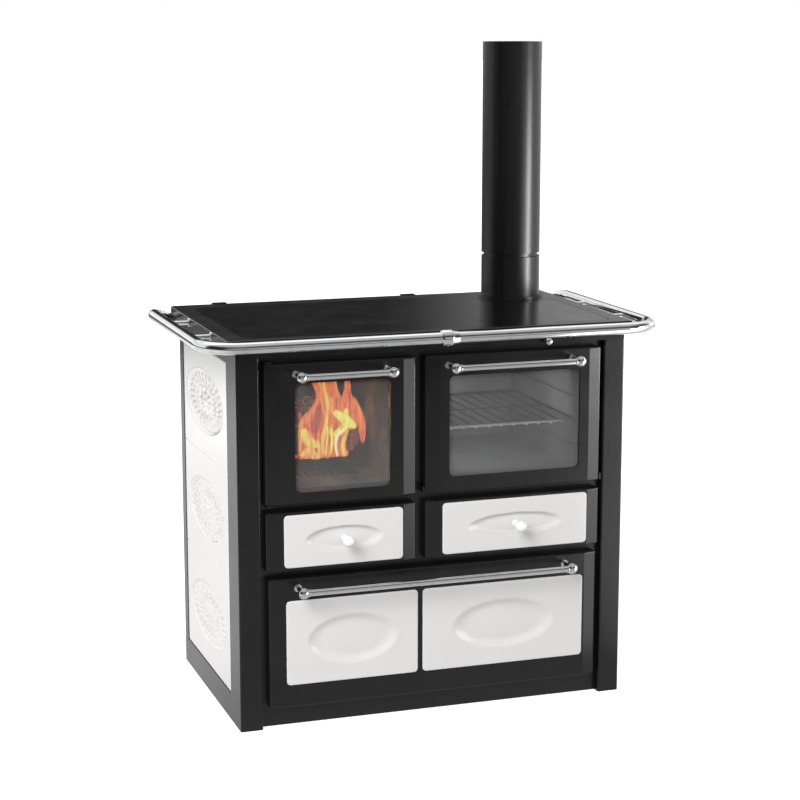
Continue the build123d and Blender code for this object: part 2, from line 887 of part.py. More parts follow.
def cooktop_frame():
    """Cast frame: border with a rim, a front skirt, a ledge under the hot plate, ears and lugs."""
    mid_y = (top_front + top_rear) / 2
    depth = top_rear - top_front
    outline = Pos(0, mid_y) * RectangleRounded(2 * top_half_width, depth, top_corner_radius)
    frame = extrude(Pos(0, 0, rim_bottom) * outline, amount=rim_height)
    top_edges = [edge for edge in frame.edges() if edge.center().Z > top_z - face_tolerance]
    frame = fillet(top_edges, top_edge_radius)
    hollow_corner = top_corner_radius - skirt_thickness
    hollow = Pos(0, mid_y) * RectangleRounded(2 * (top_half_width - skirt_thickness),
                                              depth - 2 * skirt_thickness, hollow_corner)
    under = top_z - plate_thickness
    frame -= extrude(Pos(0, 0, rim_bottom - cut_over) * hollow,
                     amount=under - rim_bottom + cut_over)
    frame -= extrude(Pos(0, 0, rim_bottom) * plate_outline(0), amount=rim_height + cut_over)
    skirt_half = body_half_width - post_corner_radius
    frame += block(-skirt_half, skirt_half, top_front, top_front + skirt_thickness,
                   skirt_bottom, under)
    ledge = extrude(Pos(0, 0, body_top) * plate_outline(ledge_weld), amount=ledge_thickness)
    ledge -= extrude(Pos(0, 0, body_top - cut_over) * plate_outline(-ledge_width),
                     amount=ledge_thickness + 2 * cut_over)
    frame += ledge
    frame -= rod((flue_x, flue_y, rim_bottom), (flue_x, flue_y, top_z + cut_over),
                 pipe_radius + spigot_fit)
    rod_z = top_z - damper_drop
    frame -= rod((damper_x, top_front - cut_over, rod_z),
                 (damper_x, top_front + skirt_thickness + cut_over, rod_z), damper_hole_radius)
    for inner, outer in ((-top_half_width + skirt_thickness, -top_half_width),
                         (top_half_width - skirt_thickness, top_half_width)):
        frame += block(min(inner, outer), max(inner, outer), rail_end_y - rail_ear_half_width,
                       rail_end_y + rail_ear_half_width, rail_end_z - rail_ear_half_height, under)
    for x in (left_lug_x, right_lug_x):
        frame += block(x - lug_width / 2, x + lug_width / 2, top_rear - skirt_thickness,
                       top_rear + lug_depth, top_z - lug_drop, top_z + lug_height)
    return frame


def hot_plate():
    """Cast plate that lies on the ledge, with a stepped hole for the hob ring."""
    under = top_z - plate_thickness
    plate = extrude(Pos(0, 0, under) * plate_outline(-hot_plate_gap), amount=plate_thickness)
    step_z = top_z - plate_thickness / 2
    plate -= rod((hob_x, hob_y, step_z), (hob_x, hob_y, top_z + cut_over), hob_radius)
    plate -= rod((hob_x, hob_y, under - cut_over), (hob_x, hob_y, top_z), hob_radius - hob_step)
    return plate


def stepped_disc(radius):
    """A round plate whose upper half is wider, so that it hangs in a stepped hole."""
    step_z = top_z - plate_thickness / 2 + hob_seat_gap
    disc = rod((hob_x, hob_y, step_z), (hob_x, hob_y, top_z), radius - hob_gap)
    disc += rod((hob_x, hob_y, top_z - plate_thickness), (hob_x, hob_y, step_z),
                radius - hob_step - hob_gap)
    return disc


def hob_ring():
    ring = stepped_disc(hob_radius)
    step_z = top_z - plate_thickness / 2
    ring -= rod((hob_x, hob_y, step_z), (hob_x, hob_y, top_z + cut_over), hob_lid_radius)
    ring -= rod((hob_x, hob_y, top_z - 2 * plate_thickness), (hob_x, hob_y, top_z),
                hob_lid_radius - hob_step)
    return ring


def hob_lid():
    """The middle lid, with a blind slot for the lifting hook."""
    lid = stepped_disc(hob_lid_radius)
    slot = SlotOverall(hob_slot_length, hob_slot_width)
    slot_y = hob_y - hob_lid_radius / 2
    return lid - extrude(Pos(hob_x, slot_y, top_z - hob_slot_depth) * slot,
                         amount=hob_slot_depth + cut_over)


# ---- towel rail ----

def rail_route(side):
    """Half of the rail, from the cooktop's side round the corner to the joint at the front."""
    side_x = side * (top_half_width + rail_side_offset)
    trim_fall = rail_end_trim * rail_end_fall / rail_side_offset
    points = [(side * (top_half_width - rail_end_trim), rail_end_y, rail_end_z - trim_fall),
              (side_x, rail_end_y, rail_z),
              (side_x, rail_front_y, rail_z), (rail_joint_x, rail_front_y, rail_z)]
    return FilletPolyline(*points, radius=(rail_rear_bend, rail_front_bend))


def towel_rail():
    halves = []
    cooktop = block(-top_half_width, top_half_width, top_front, top_rear, 0, top_z)
    for side in (-1, 1):
        route = rail_route(side)
        start = Plane(origin=route @ 0, z_dir=route % 0)
        section = Circle(rail_radius) - Circle(rail_radius - rail_wall)
        halves.append(sweep(start * section, path=route) - cooktop)
    return group(halves)


def rail_collar():
    """Barrel with a tapered end that joins the two halves of the rail."""
    x0 = rail_joint_x - collar_length / 2
    x1 = rail_joint_x + collar_length / 2
    centre = (rail_front_y, rail_z)
    barrel = rod((x0, *centre), (x1, *centre), collar_radius)
    rims = [edge for edge in barrel.edges() if edge.geom_type == GeomType.CIRCLE]
    barrel = fillet(rims, collar_edge_radius)
    taper_plane = Plane((x1 - collar_edge_radius, *centre), z_dir=(1, 0, 0))
    base = taper_plane * Circle(collar_radius - collar_taper_step)
    tip_plane = taper_plane.offset(collar_edge_radius + collar_taper_length)
    tip = tip_plane * Circle(rail_radius + collar_taper_step)
    barrel += loft([base, tip])
    return barrel - rod((x0 - cut_over, *centre), (x1 + 2 * collar_taper_length, *centre),
                        rail_radius + rail_fit)


def rail_brackets():
    """Short arms from the cooktop's sides that end in a saddle on the rail."""
    arms = []
    rail_x = top_half_width + rail_side_offset
    for side in (-1, 1):
        for y in arm_positions:
            root = (side * top_half_width, y, rail_z)
            arm = rod(root, (side * (top_half_width + arm_flange_thickness), y, rail_z),
                      arm_flange_radius)
            arm += rod(root, (side * rail_x, y, rail_z), arm_radius)
            arm -= rod((side * rail_x, y - 2 * arm_radius, rail_z),
                       (side * rail_x, y + 2 * arm_radius, rail_z), rail_radius + rail_fit)
            arms.append(arm)
    return group(arms)


# ---- flue ----

def flue_collar():
    """Flanged collar on the cooktop, with a groove and a spigot inside the pipe."""
    base = top_z - plate_thickness
    shoulder = top_z + collar_top
    spigot_base = shoulder + groove_height
    centre = (flue_x, flue_y)
    collar = rod((*centre, base), (*centre, shoulder), pipe_radius)
    collar += rod((*centre, top_z), (*centre, top_z + flange_thickness), flange_radius)
    collar += rod((*centre, shoulder), (*centre, spigot_base), groove_radius)
    collar += rod((*centre, spigot_base), (*centre, spigot_base + spigot_length),
                  pipe_radius - pipe_wall - spigot_fit)
    return collar - rod((*centre, base - cut_over), (*centre, spigot_base + spigot_length + cut_over),
                        groove_radius - collar_wall)


def flue_pipe():
    """Straight pipe whose upper end is a socket for the next length."""
    bottom = top_z + collar_top + groove_height - pipe_lap
    top = bottom + pipe_length
    centre = (flue_x, flue_y)
    pipe = rod((*centre, bottom), (*centre, top), pipe_radius)
    pipe -= rod((*centre, bottom - cut_over), (*centre, top), pipe_radius - pipe_wall)
    return pipe - rod((*centre, top - pipe_socket_length), (*centre, top + cut_over),
                      pipe_socket_radius)


# ---- firebox ----

def firebox_inside():
    """Plan of the firebox shell's inside, as a field whose z runs from its floor to the top."""
    left = firebox_field.x0 + firebox_left_clearance
    right = firebox_field.x1 - firebox_right_clearance
    return Field(left, right, upper_shelf_z + firebox_wall, body_top)


def grate_field():
    middle = firebox_inside().mid_x
    top = upper_shelf_z + firebox_wall + floor_brick_thickness
    return Field(middle - grate_width / 2, middle + grate_width / 2, top - grate_thickness, top)


def grate_mid_y():
    return inside_front + brick_front_setback + (firebox_depth - brick_front_setback) / 2


def firebox_shell():
    """Steel firebox, open to the front and the top; its right wall ends at the oven's top."""
    inside = firebox_inside()
    wall = firebox_wall
    rear = inside_front + firebox_depth
    shell = block(inside.x0 - wall, inside.x1 + wall, inside_front, rear, upper_shelf_z, body_top)
    shell -= block(inside.x0, inside.x1, inside_front - cut_over, rear - wall, inside.z0,
                   body_top + cut_over)
    shell -= block(inside.x1 - cut_over, inside.x1 + wall + cut_over, inside_front - cut_over,
                   rear + cut_over, oven_mouth.z1 + sheet, body_top + cut_over)
    hole = grate_field().inset(ash_hole_inset)
    half_depth = grate_depth / 2 - ash_hole_inset
    return shell - block(hole.x0, hole.x1, grate_mid_y() - half_depth, grate_mid_y() + half_depth,
                         upper_shelf_z - cut_over, inside.z0 + cut_over)


def firebricks():
    """Floor bricks round the grate and wall bricks on three sides."""
    inside = firebox_inside().inset(brick_joint)
    front = inside_front + brick_front_setback
    rear = inside_front + firebox_depth - firebox_wall - brick_joint
    hole = grate_field().inset(-grate_clearance)
    y0 = grate_mid_y() - grate_depth / 2 - grate_clearance
    y1 = grate_mid_y() + grate_depth / 2 + grate_clearance
    floor = inside.z0 - brick_joint
    level = floor + floor_brick_thickness
    top = level + wall_brick_height
    thick = wall_brick_thickness
    return group([
        block(inside.x0, inside.x1, front, y0, floor, level),
        block(inside.x0, inside.x1, y1, rear, floor, level),
        block(inside.x0, hole.x0, y0, y1, floor, level),
        block(hole.x1, inside.x1, y0, y1, floor, level),
        block(inside.x0, inside.x0 + thick, front, rear, level, top),
        block(inside.x1 - thick, inside.x1, front, rear, level, top),
        block(inside.x0 + thick, inside.x1 - thick, rear - thick, rear, level, top),
    ])


def grate():
    """Cast grate with long slots, on four feet."""
    field = grate_field()
    y_mid = grate_mid_y()
    y0 = y_mid - grate_depth / 2
    y1 = y_mid + grate_depth / 2
    casting = block(field.x0, field.x1, y0, y1, field.z0, field.z1)
    pitch = (grate_width - 2 * grate_rim) / grate_slots
    for n in range(grate_slots):
        x = field.x0 + grate_rim + (n + 0.5) * pitch
        casting -= block(x - grate_bar_gap / 2, x + grate_bar_gap / 2, y0 + grate_rim,
                         y1 - grate_rim, field.z0 - cut_over, field.z1 + cut_over)
    foot_z = upper_shelf_z + firebox_wall
    for x in (field.x0, field.x1 - grate_foot):
        for y in (y0, y1 - grate_foot):
            casting += block(x, x + grate_foot, y, y + grate_foot, foot_z, field.z1)
    return casting


def firewood():
    """Two logs side by side on the grate and a third on top of them."""
    field = grate_field()
    x0 = field.mid_x - log_length / 2
    x1 = field.mid_x + log_length / 2
    y_mid = grate_mid_y()
    spread = log_radius + log_gap / 2
    low = field.z1 + log_radius
    rise = ((2 * log_radius) ** 2 - spread ** 2) ** 0.5
    return group([rod((x0, y_mid - spread, low), (x1, y_mid - spread, low), log_radius),
                  rod((x0, y_mid + spread, low), (x1, y_mid + spread, low), log_radius),
                  rod((x0, y_mid, low + rise), (x1, y_mid, low + rise), log_radius)])


# ---- oven ----

def oven_box():
    """Sheet-steel oven, open to the front, with ledges for the rack on both sides."""
    rear = inside_front + oven_depth
    outer = oven_mouth.inset(-sheet)
    box = block(outer.x0, outer.x1, inside_front, rear, outer.z0, outer.z1)
    box -= block(oven_mouth.x0, oven_mouth.x1, inside_front - cut_over, rear - sheet,
                 oven_mouth.z0, oven_mouth.z1)
    for level in ledge_levels:
        z = oven_mouth.z0 + level
        for x, inward in ((oven_mouth.x0, 1), (oven_mouth.x1, -1)):
            x0, x1 = sorted((x, x + inward * ledge_reach))
            box += block(x0, x1, inside_front, rear - sheet, z - sheet, z)
    return box


def oven_rack():
    """Wire rack: a frame and one cross bar carry wires that run to the back."""
    z = oven_mouth.z0 + ledge_levels[rack_level] + rack_bar_radius
    x0 = oven_mouth.x0 + rack_side_clearance + rack_bar_radius
    x1 = oven_mouth.x1 - rack_side_clearance - rack_bar_radius
    y0 = rack_front_y
    y1 = rack_front_y + rack_length
    reach = rack_bar_radius
    route = FilletPolyline((x0, y0, z), (x1, y0, z), (x1, y1, z), (x0, y1, z),
                           radius=rack_corner_radius, close=True)
    rack = sweep(Plane(origin=route @ 0, z_dir=route % 0) * Circle(rack_bar_radius), path=route)
    y_mid = (y0 + y1) / 2
    bars = [rod((x0, y_mid, z), (x1, y_mid, z), rack_wire_radius)]
    wires = round((x1 - x0) / rack_wire_spacing) - 1
    pitch = (x1 - x0) / (wires + 1)
    wire_z = z - rack_bar_radius
    for n in range(wires):
        x = x0 + (n + 1) * pitch
        bars.append(rod((x, y0 - reach, wire_z), (x, y1 + reach, wire_z), rack_wire_radius))
    return rack.fuse(*bars)


# ---- smoke path ----

def smoke_divider():
    """Upright plate over the oven; smoke goes round the oven unless its hole is open."""
    z0 = oven_mouth.z1 + sheet
    field = Field(oven_mouth.x0 - sheet, oven_mouth.x1 + sheet, z0, body_top)
    plate = slab(field, divider_y, divider_y + divider_thickness)
    return plate - slab(bypass_field(), divider_y - cut_over, divider_y + divider_thickness + cut_over)


def bypass_field():
    mid_z = (oven_mouth.z1 + sheet + body_top) / 2
    return Field(damper_x - bypass_half_width, damper_x + bypass_half_width,
                 mid_z - bypass_half_height, mid_z + bypass_half_height)


def damper_rod():
    """Pull rod with a plate that shuts the hole in the divider."""
    z = top_z - damper_drop
    plate_rear = divider_y - damper_seat_gap
    ball_y = top_front - damper_ball_standoff
    plate = slab(bypass_field().inset(-damper_plate_margin), plate_rear - damper_plate_thickness,
                 plate_rear)
    return plate + rod((damper_x, ball_y + damper_ball_radius / 2 + bar_fit, z),
                       (damper_x, plate_rear - damper_plate_thickness, z), damper_rod_radius)


def damper_knob():
    z = top_z - damper_drop
    ball_y = top_front - damper_ball_standoff
    ball = Pos(damper_x, ball_y, z) * Sphere(damper_ball_radius)
    return ball - rod((damper_x, ball_y + damper_ball_radius / 2, z),
                      (damper_x, ball_y + 2 * damper_ball_radius, z),
                      damper_rod_radius + bar_fit)


pieces = {
    "post_left": corner_post(-1),
    "post_right": corner_post(1),
    "side_frame_left": side_frame(-1),
    "side_frame_right": side_frame(1),
    "side_tiles_left": side_tiles(-1),
    "side_tiles_right": side_tiles(1),
    "front_faceplate": front_faceplate(),
    "base_pan": base_pan(),
    "cabinet_shelves": cabinet_shelves(),
    "centre_walls": centre_walls(),
    "rear_panel": rear_panel(),
    "air_register": air_register(),
    "drawer_runners": drawer_runners(),
    "cooktop_frame": cooktop_frame(),
    "hot_plate": hot_plate(),
    "hob_ring": hob_ring(),
    "hob_lid": hob_lid(),
    "towel_rail": towel_rail(),
    "rail_collar": rail_collar(),
    "rail_brackets": rail_brackets(),
    "flue_collar": flue_collar(),
    "flue_pipe": flue_pipe(),
    "firebox_shell": firebox_shell(),
    "firebricks": firebricks(),
    "grate": grate(),
    "firewood": firewood(),
    "oven_box": oven_box(),
    "oven_rack": oven_rack(),
    "smoke_divider": smoke_divider(),
    "damper_rod": damper_rod(),
    "damper_knob": damper_knob(),
    "firebox_hinge": firebox_hinge(),
    "oven_hinge": oven_hinge(),
}
pieces.update(firebox_door_pieces())
pieces.update(oven_door_pieces())
pieces.update(small_drawer_pieces("ash_drawer", ash_field, ash_opening, ash_box_length,
                                  ash_dish_width, ash_dish_height))
pieces.update(small_drawer_pieces("right_drawer", right_field, right_opening, right_box_length,
                                  right_dish_width, right_dish_height))
pieces.update(wood_drawer_pieces())

# The finished stove stands with its origin under the middle of its overall depth.
for name, piece in pieces.items():
    export_step(piece.moved(Location((0, -origin_y, 0))), "parts/" + name + ".step")
print("pieces:", len(pieces), " origin from post face:", round(origin_y, 3))
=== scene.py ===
# A wood cookstove for the studio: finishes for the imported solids, and the pieces that dress them.
import json
import math
import bpy
import bmesh
import numpy as np
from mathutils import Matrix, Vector, noise


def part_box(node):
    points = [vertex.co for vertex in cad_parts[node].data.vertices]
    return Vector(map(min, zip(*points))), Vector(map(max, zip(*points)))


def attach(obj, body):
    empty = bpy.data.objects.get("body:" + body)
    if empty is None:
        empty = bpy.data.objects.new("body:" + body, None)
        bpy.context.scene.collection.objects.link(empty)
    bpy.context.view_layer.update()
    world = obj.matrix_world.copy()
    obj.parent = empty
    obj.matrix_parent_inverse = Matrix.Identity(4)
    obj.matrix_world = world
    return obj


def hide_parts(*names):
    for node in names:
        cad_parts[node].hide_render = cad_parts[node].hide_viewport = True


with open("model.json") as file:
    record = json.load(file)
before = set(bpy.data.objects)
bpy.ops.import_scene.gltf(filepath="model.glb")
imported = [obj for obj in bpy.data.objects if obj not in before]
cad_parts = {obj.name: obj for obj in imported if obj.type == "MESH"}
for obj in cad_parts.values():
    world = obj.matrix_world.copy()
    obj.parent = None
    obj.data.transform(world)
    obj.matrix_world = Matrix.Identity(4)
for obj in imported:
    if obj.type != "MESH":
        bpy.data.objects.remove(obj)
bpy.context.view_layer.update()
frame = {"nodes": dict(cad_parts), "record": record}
slotOf = {part["node"]: part["material_slot"] for part in frame["record"]["subparts"]}


# the photograph's own viewpoint
cameraSetup = {
    "place": (-1.45514, -4.309165, 1.53125),
    "forward": (0.31436, 0.93058, -0.18764),
    "lens": 90.97,
    "sensor": 36.0,
}


def placeCamera():
    data = bpy.data.cameras.new("photoCamera")
    data.lens = cameraSetup["lens"]
    data.sensor_width = cameraSetup["sensor"]
    data.clip_end = 100
    camera = bpy.data.objects.new("photoCamera", data)
    camera.location = cameraSetup["place"]
    camera.rotation_euler = Vector(cameraSetup["forward"]).to_track_quat("-Z", "Y").to_euler()
    bpy.context.scene.collection.objects.link(camera)
    bpy.context.scene.camera = camera


placeCamera()
print("camera placed")


def operation(kind, swapped=False):
    # a method that joins a wire and another value in one maths node
    def method(self, other=0.0):
        first, second = (other, self) if swapped else (self, other)
        return self.shader.add("ShaderNodeMath", {"operation": kind}, {0: first, 1: second})

    return method


class Wire:
    # a socket that is added, multiplied and so on like a number
    def __init__(self, shader, socket):
        self.shader = shader
        self.socket = socket

    __add__, __radd__ = operation("ADD"), operation("ADD", True)
    __sub__, __rsub__ = operation("SUBTRACT"), operation("SUBTRACT", True)
    __mul__, __rmul__ = operation("MULTIPLY"), operation("MULTIPLY", True)
    __pow__, sine, size = operation("POWER"), operation("SINE"), operation("ABSOLUTE")
    least, most = operation("MINIMUM"), operation("MAXIMUM")

    def step(self, low, high):
        # 0 below low, 1 above high, smooth between
        return self.shader.add("ShaderNodeMapRange", {"interpolation_type": "SMOOTHSTEP"},
                               {"Value": self, "From Min": low, "From Max": high})


class Shader:
    def __init__(self, tree):
        self.tree = tree
        tree.nodes.clear()

    def add(self, kind, settings=None, sockets=None, out=0):
        node = self.tree.nodes.new(kind)
        for name, value in (settings or {}).items():
            if name == "stops":
                self.setStops(node.color_ramp, value)
            else:
                setattr(node, name, value)
        for name, value in (sockets or {}).items():
            if isinstance(value, Wire):
                self.tree.links.new(value.socket, node.inputs[name])
            else:
                node.inputs[name].default_value = value
        return Wire(self, node.outputs[out]) if len(node.outputs) else None

    def setStops(self, ramp, stops):
        ramp.elements[0].position = stops[0][0]
        ramp.elements[1].position = stops[-1][0]
        for position, colour in stops[1:-1]:
            ramp.elements.new(position)
        for element, (position, colour) in zip(ramp.elements, stops):
            element.color = (*colour, 1)

    def place(self, stretch=None):
        # the point on the piece, in metres from the stove's origin
        point = self.add("ShaderNodeTexCoord", out="Object")
        if stretch is None:
            return point
        return self.add("ShaderNodeVectorMath", {"operation": "MULTIPLY"}, {0: point, 1: stretch})

    def axes(self, vector):
        node = self.add("ShaderNodeSeparateXYZ", {}, {0: vector}).socket.node
        return [Wire(self, socket) for socket in node.outputs]

    def cloud(self, point, scale, detail=2.0, rough=0.5):
        return self.add("ShaderNodeTexNoise", {}, {"Vector": point, "Scale": scale,
                                                   "Detail": detail, "Roughness": rough})

    def cells(self, point, scale, feature="F1", out="Distance"):
        return self.add("ShaderNodeTexVoronoi", {"feature": feature},
                        {"Vector": point, "Scale": scale}, out)

    def mix(self, share, first, second):
        # two colours, by share
        first = first if isinstance(first, Wire) else (*first, 1)
        second = second if isinstance(second, Wire) else (*second, 1)
        return self.add("ShaderNodeMix", {"data_type": "RGBA"}, {0: share, 6: first, 7: second}, 2)

    def carried(self, name):
        # a value that the mesh carries at its points, under this name
        return self.add("ShaderNodeAttribute", {"attribute_name": name}, out="Fac")

    def ramp(self, share, stops):
        return self.add("ShaderNodeValToRGB", {"stops": stops}, {0: share})

    def bump(self, height, distance, strength=1.0):
        return self.add("ShaderNodeBump", {}, {"Height": height, "Distance": distance,
                                               "Strength": strength})


def makeFinish(name, paint, look):
    material = bpy.data.materials.new(name)
    material.use_nodes = True
    shader = Shader(material.node_tree)
    surface = shader.add("ShaderNodeBsdfPrincipled", {}, paint(shader, look))
    shader.add("ShaderNodeOutputMaterial", {}, {"Surface": surface})
    return material


def darkCoat(shader, look, wear, height):
    # black paint or blacked iron, a little worn where the pattern runs high
    return {
        "Base Color": shader.mix(wear.step(*look["wornFrom"]), look["colour"], look["worn"]),
        "Roughness": look["roughness"] + look["spread"] * (wear - 0.5),
        "IOR": look["ior"],
        "Normal": shader.bump(height, look["depth"]),
    }


enamelLook = {"colour": (0.0035, 0.0035, 0.0038), "worn": (0.006, 0.006, 0.0063),
              "wornFrom": (0.4, 0.75), "roughness": 0.26, "spread": 0.12, "ior": 1.5,
              "patchScale": 9, "peelScale": 420, "depth": 0.00006}


def blackEnamel(shader, look):
    point = shader.place()
    patches = shader.cloud(point, look["patchScale"], detail=4)
    peel = shader.cloud(point, look["peelScale"], detail=1)
    return darkCoat(shader, look, patches, peel)


castLook = {"colour": (0.004, 0.004, 0.0043), "worn": (0.007, 0.007, 0.0073),
            "wornFrom": (0.4, 0.75), "roughness": 0.22, "spread": 0.14, "ior": 1.5,
            "patchScale": 12, "grainScale": 700, "pitScale": 420, "pitShare": 0.4, "depth": 0.00008}


def castBlack(shader, look):
    point = shader.place()
    patches = shader.cloud(point, look["patchScale"], detail=4)
    grain = shader.cloud(point, look["grainScale"], detail=2)
    pits = shader.cells(point, look["pitScale"])
    return darkCoat(shader, look, patches, grain + look["pitShare"] * pits)


pipeLook = {"colour": (0.004, 0.004, 0.0043), "worn": (0.007, 0.007, 0.0073),
            "wornFrom": (0.45, 0.8), "roughness": 0.31, "spread": 0.1, "ior": 1.5,
            "drawing": (160, 160, 6), "drawnShare": 0.6, "grainScale": 800, "depth": 0.00005}


def blackPipe(shader, look):
    drawn = shader.cloud(shader.place(look["drawing"]), 1, detail=3)
    grain = shader.cloud(shader.place(), look["grainScale"], detail=2)
    return darkCoat(shader, look, drawn, grain + look["drawnShare"] * drawn)


plateLook = {"colour": (0.004, 0.004, 0.0043), "heated": (0.008, 0.0078, 0.0076),
             "heatedTo": (0.05, 0.22), "hobCentre": (-0.187, 0.010625), "roughness": 0.15,
             "spread": 0.18, "ior": 1.45, "patchScale": 16, "grainScale": 900,
             "turningPitch": 0.0016, "turningShine": 0.02, "turningShare": 0.15, "depth": 0.00005,
             "heatPatch": (0.35, 0.7)}


def hotPlate(shader, look):
    # a ground casting with turning marks round the hob, browned by its heat
    point = shader.place()
    dx, dy = (axis - middle for axis, middle in zip(shader.axes(point), look["hobCentre"]))
    radius = (dx * dx + dy * dy) ** 0.5
    turning = (radius * (2 * math.pi / look["turningPitch"])).sine()
    patches = shader.cloud(point, look["patchScale"], detail=5)
    grain = shader.cloud(point, look["grainScale"], detail=2)
    heat = (1 - radius.step(*look["heatedTo"])) * patches.step(*look["heatPatch"])
    return {
        "Base Color": shader.mix(heat, look["colour"], look["heated"]),
        "Roughness": (look["roughness"] + look["spread"] * (patches - 0.5)
                      + look["turningShine"] * turning),
        "IOR": look["ior"],
        "Normal": shader.bump(grain + look["turningShare"] * turning, look["depth"]),
    }


# edge is the tone of the painted shade laid over steep relief
glazeLook = {"colour": (0.8, 0.785, 0.775), "thin": (0.76, 0.745, 0.73),
             "edge": (0.57, 0.565, 0.56), "thinFrom": (0.45, 0.9), "roughness": 0.16, "coat": 0.6,
             "coatRoughness": 0.06, "patchScale": 11, "rippleScale": 60, "crazeScale": 130,
             "crazeWidth": 0.03, "depth": 0.0002, "spread": 0.06, "crazeDull": 0.03,
             "crazeShare": 0.05}


def whiteGlaze(shader, look):
    # steep relief turns the glaze to the darker edge tone, as the tile's own attribute says: painted
    # shade that outlines the relief
    point = shader.place()
    patches = shader.cloud(point, look["patchScale"], detail=3)
    ripple = shader.cloud(point, look["rippleScale"], detail=2)
    craze = shader.cells(point, look["crazeScale"], "DISTANCE_TO_EDGE")
    whole = craze.step(0, look["crazeWidth"])
    glaze = shader.mix(patches.step(*look["thinFrom"]), look["colour"], look["thin"])
    return {
        "Base Color": shader.mix(shader.carried("glazeThin"), glaze, look["edge"]),
        "Roughness": (look["roughness"] + look["spread"] * (ripple - 0.5)
                      + look["crazeDull"] * (1 - whole)),
        "Coat Weight": look["coat"],
        "Coat Roughness": look["coatRoughness"],
        "Normal": shader.bump(ripple + look["crazeShare"] * whole, look["depth"]),
    }


ballLook = {"colour": (0.95, 0.945, 0.94), "shade": (0.91, 0.905, 0.9), "roughness": 0.12,
            "coat": 0.5, "rippleScale": 160, "depth": 0.0001, "shadeFrom": (0.4, 0.8),
            "spread": 0.05}


def whiteBall(shader, look):
    ripple = shader.cloud(shader.place(), look["rippleScale"], detail=2)
    return {
        "Base Color": shader.mix(ripple.step(*look["shadeFrom"]), look["colour"], look["shade"]),
        "Roughness": look["roughness"] + look["spread"] * ripple,
        "Coat Weight": look["coat"],
        "Normal": shader.bump(ripple, look["depth"]),
    }


chromeLook = {"colour": (0.72, 0.725, 0.735), "dull": (0.62, 0.625, 0.63), "roughness": 0.08,
              "smearScale": 45, "smeared": 0.1, "brushing": (60, 900, 900), "depth": 0.00001,
              "dullFrom": (0.5, 0.8), "smearFrom": (0.4, 0.9), "brushScale": 1.6, "spread": 0.05}


def chrome(shader, look):
    smears = shader.cloud(shader.place(), look["smearScale"], detail=4)
    scratches = shader.cloud(shader.place(look["brushing"]), look["brushScale"], detail=2)
    return {
        "Base Color": shader.mix(smears.step(*look["dullFrom"]), look["colour"], look["dull"]),
        "Metallic": 1.0,
        "Roughness": (look["roughness"] + look["smeared"] * smears.step(*look["smearFrom"])
                      + look["spread"] * (scratches - 0.5)),
        "Normal": shader.bump(scratches, look["depth"]),
    }


# colour and cover lay a half-clear grey veil on the pane: a painted reflection; haze and specks vary
# it at random
glassLook = {"colour": (0.215, 0.215, 0.214), "hazy": 1.15, "cover": 0.28, "roughness": 0.06,
             "ior": 1.5, "hazeScale": 7, "speckScale": 420, "speckSize": (0.05, 0.12),
             "hazeFrom": (0.3, 0.8), "spread": 0.05, "hazeCover": 0.08, "speckCover": 0.12}


def doorGlass(shader, look):
    point = shader.place()
    haze = shader.cloud(point, look["hazeScale"], detail=4)
    specks = 1 - shader.cells(point, look["speckScale"]).step(*look["speckSize"])
    hazy = [look["hazy"] * c for c in look["colour"]]
    # the grey base at low cover is the painted reflection
    return {
        "Base Color": shader.mix(haze.step(*look["hazeFrom"]), look["colour"], hazy),
        "Roughness": look["roughness"] + look["spread"] * haze,
        "Alpha": look["cover"] + look["hazeCover"] * (haze - 0.5) + look["speckCover"] * specks,
        "IOR": look["ior"],
    }


ropeLook = {"colour": (0.16, 0.155, 0.15), "soot": (0.04, 0.038, 0.036), "roughness": 0.85,
            "fibreScale": 2600, "lay": (1.0, 2.5, 1.0), "sootScale": 30, "depth": 0.0003,
            "sootFrom": (0.35, 0.75), "sootCover": 0.8, "spread": 0.15, "bumped": 0.7}


def glassRope(shader, look):
    fibres = shader.cloud(shader.place(look["lay"]), look["fibreScale"], detail=2)
    soot = shader.cloud(shader.place(), look["sootScale"], detail=4)
    return {
        "Base Color": shader.mix(soot.step(*look["sootFrom"]) * look["sootCover"],
                                 look["colour"], look["soot"]),
        "Roughness": look["roughness"] + look["spread"] * fibres,
        "Normal": shader.bump(fibres, look["depth"], look["bumped"]),
    }


steelLook = {"colour": (0.42, 0.425, 0.435), "oxide": (0.22, 0.2, 0.185), "roughness": 0.36,
             "spangleScale": 75, "spangleShade": 0.7, "stainScale": 14, "rubbing": (30, 30, 260),
             "depth": 0.00006, "stainFrom": (0.55, 0.8), "spangleCover": 0.5, "stainCover": 0.7,
             "metal": 0.9, "stainMetal": 0.4, "spangleDull": 0.12, "stainDull": 0.15,
             "spangleShare": 0.3}


def sheetSteel(shader, look):
    point = shader.place()
    shade = shader.axes(shader.cells(point, look["spangleScale"], out="Color"))[0]
    rubbed = shader.cloud(shader.place(look["rubbing"]), 1, detail=3)
    stain = shader.cloud(point, look["stainScale"], detail=5).step(*look["stainFrom"])
    darker = [look["spangleShade"] * c for c in look["colour"]]
    bare = shader.mix(shade * look["spangleCover"], look["colour"], darker)
    return {
        "Base Color": shader.mix(stain * look["stainCover"], bare, look["oxide"]),
        "Metallic": look["metal"] - look["stainMetal"] * stain,
        "Roughness": look["roughness"] + look["spangleDull"] * shade + look["stainDull"] * stain,
        "Normal": shader.bump(rubbed + look["spangleShare"] * shade, look["depth"]),
    }


brickLook = {"colour": (0.2, 0.18, 0.15), "fleck": (0.3, 0.275, 0.24), "soot": (0.035, 0.032, 0.03),
             "roughness": 0.82, "fleckScale": 260, "poreScale": 330, "sootScale": 11,
             "lumpScale": 90, "depth": 0.0011, "poreSize": (0.1, 0.5), "sootFrom": (0.35, 0.7),
             "fleckFrom": (0.6, 0.9), "sootCover": 0.85, "spread": 0.15, "lumpShare": 0.5,
             "bumped": 0.8}


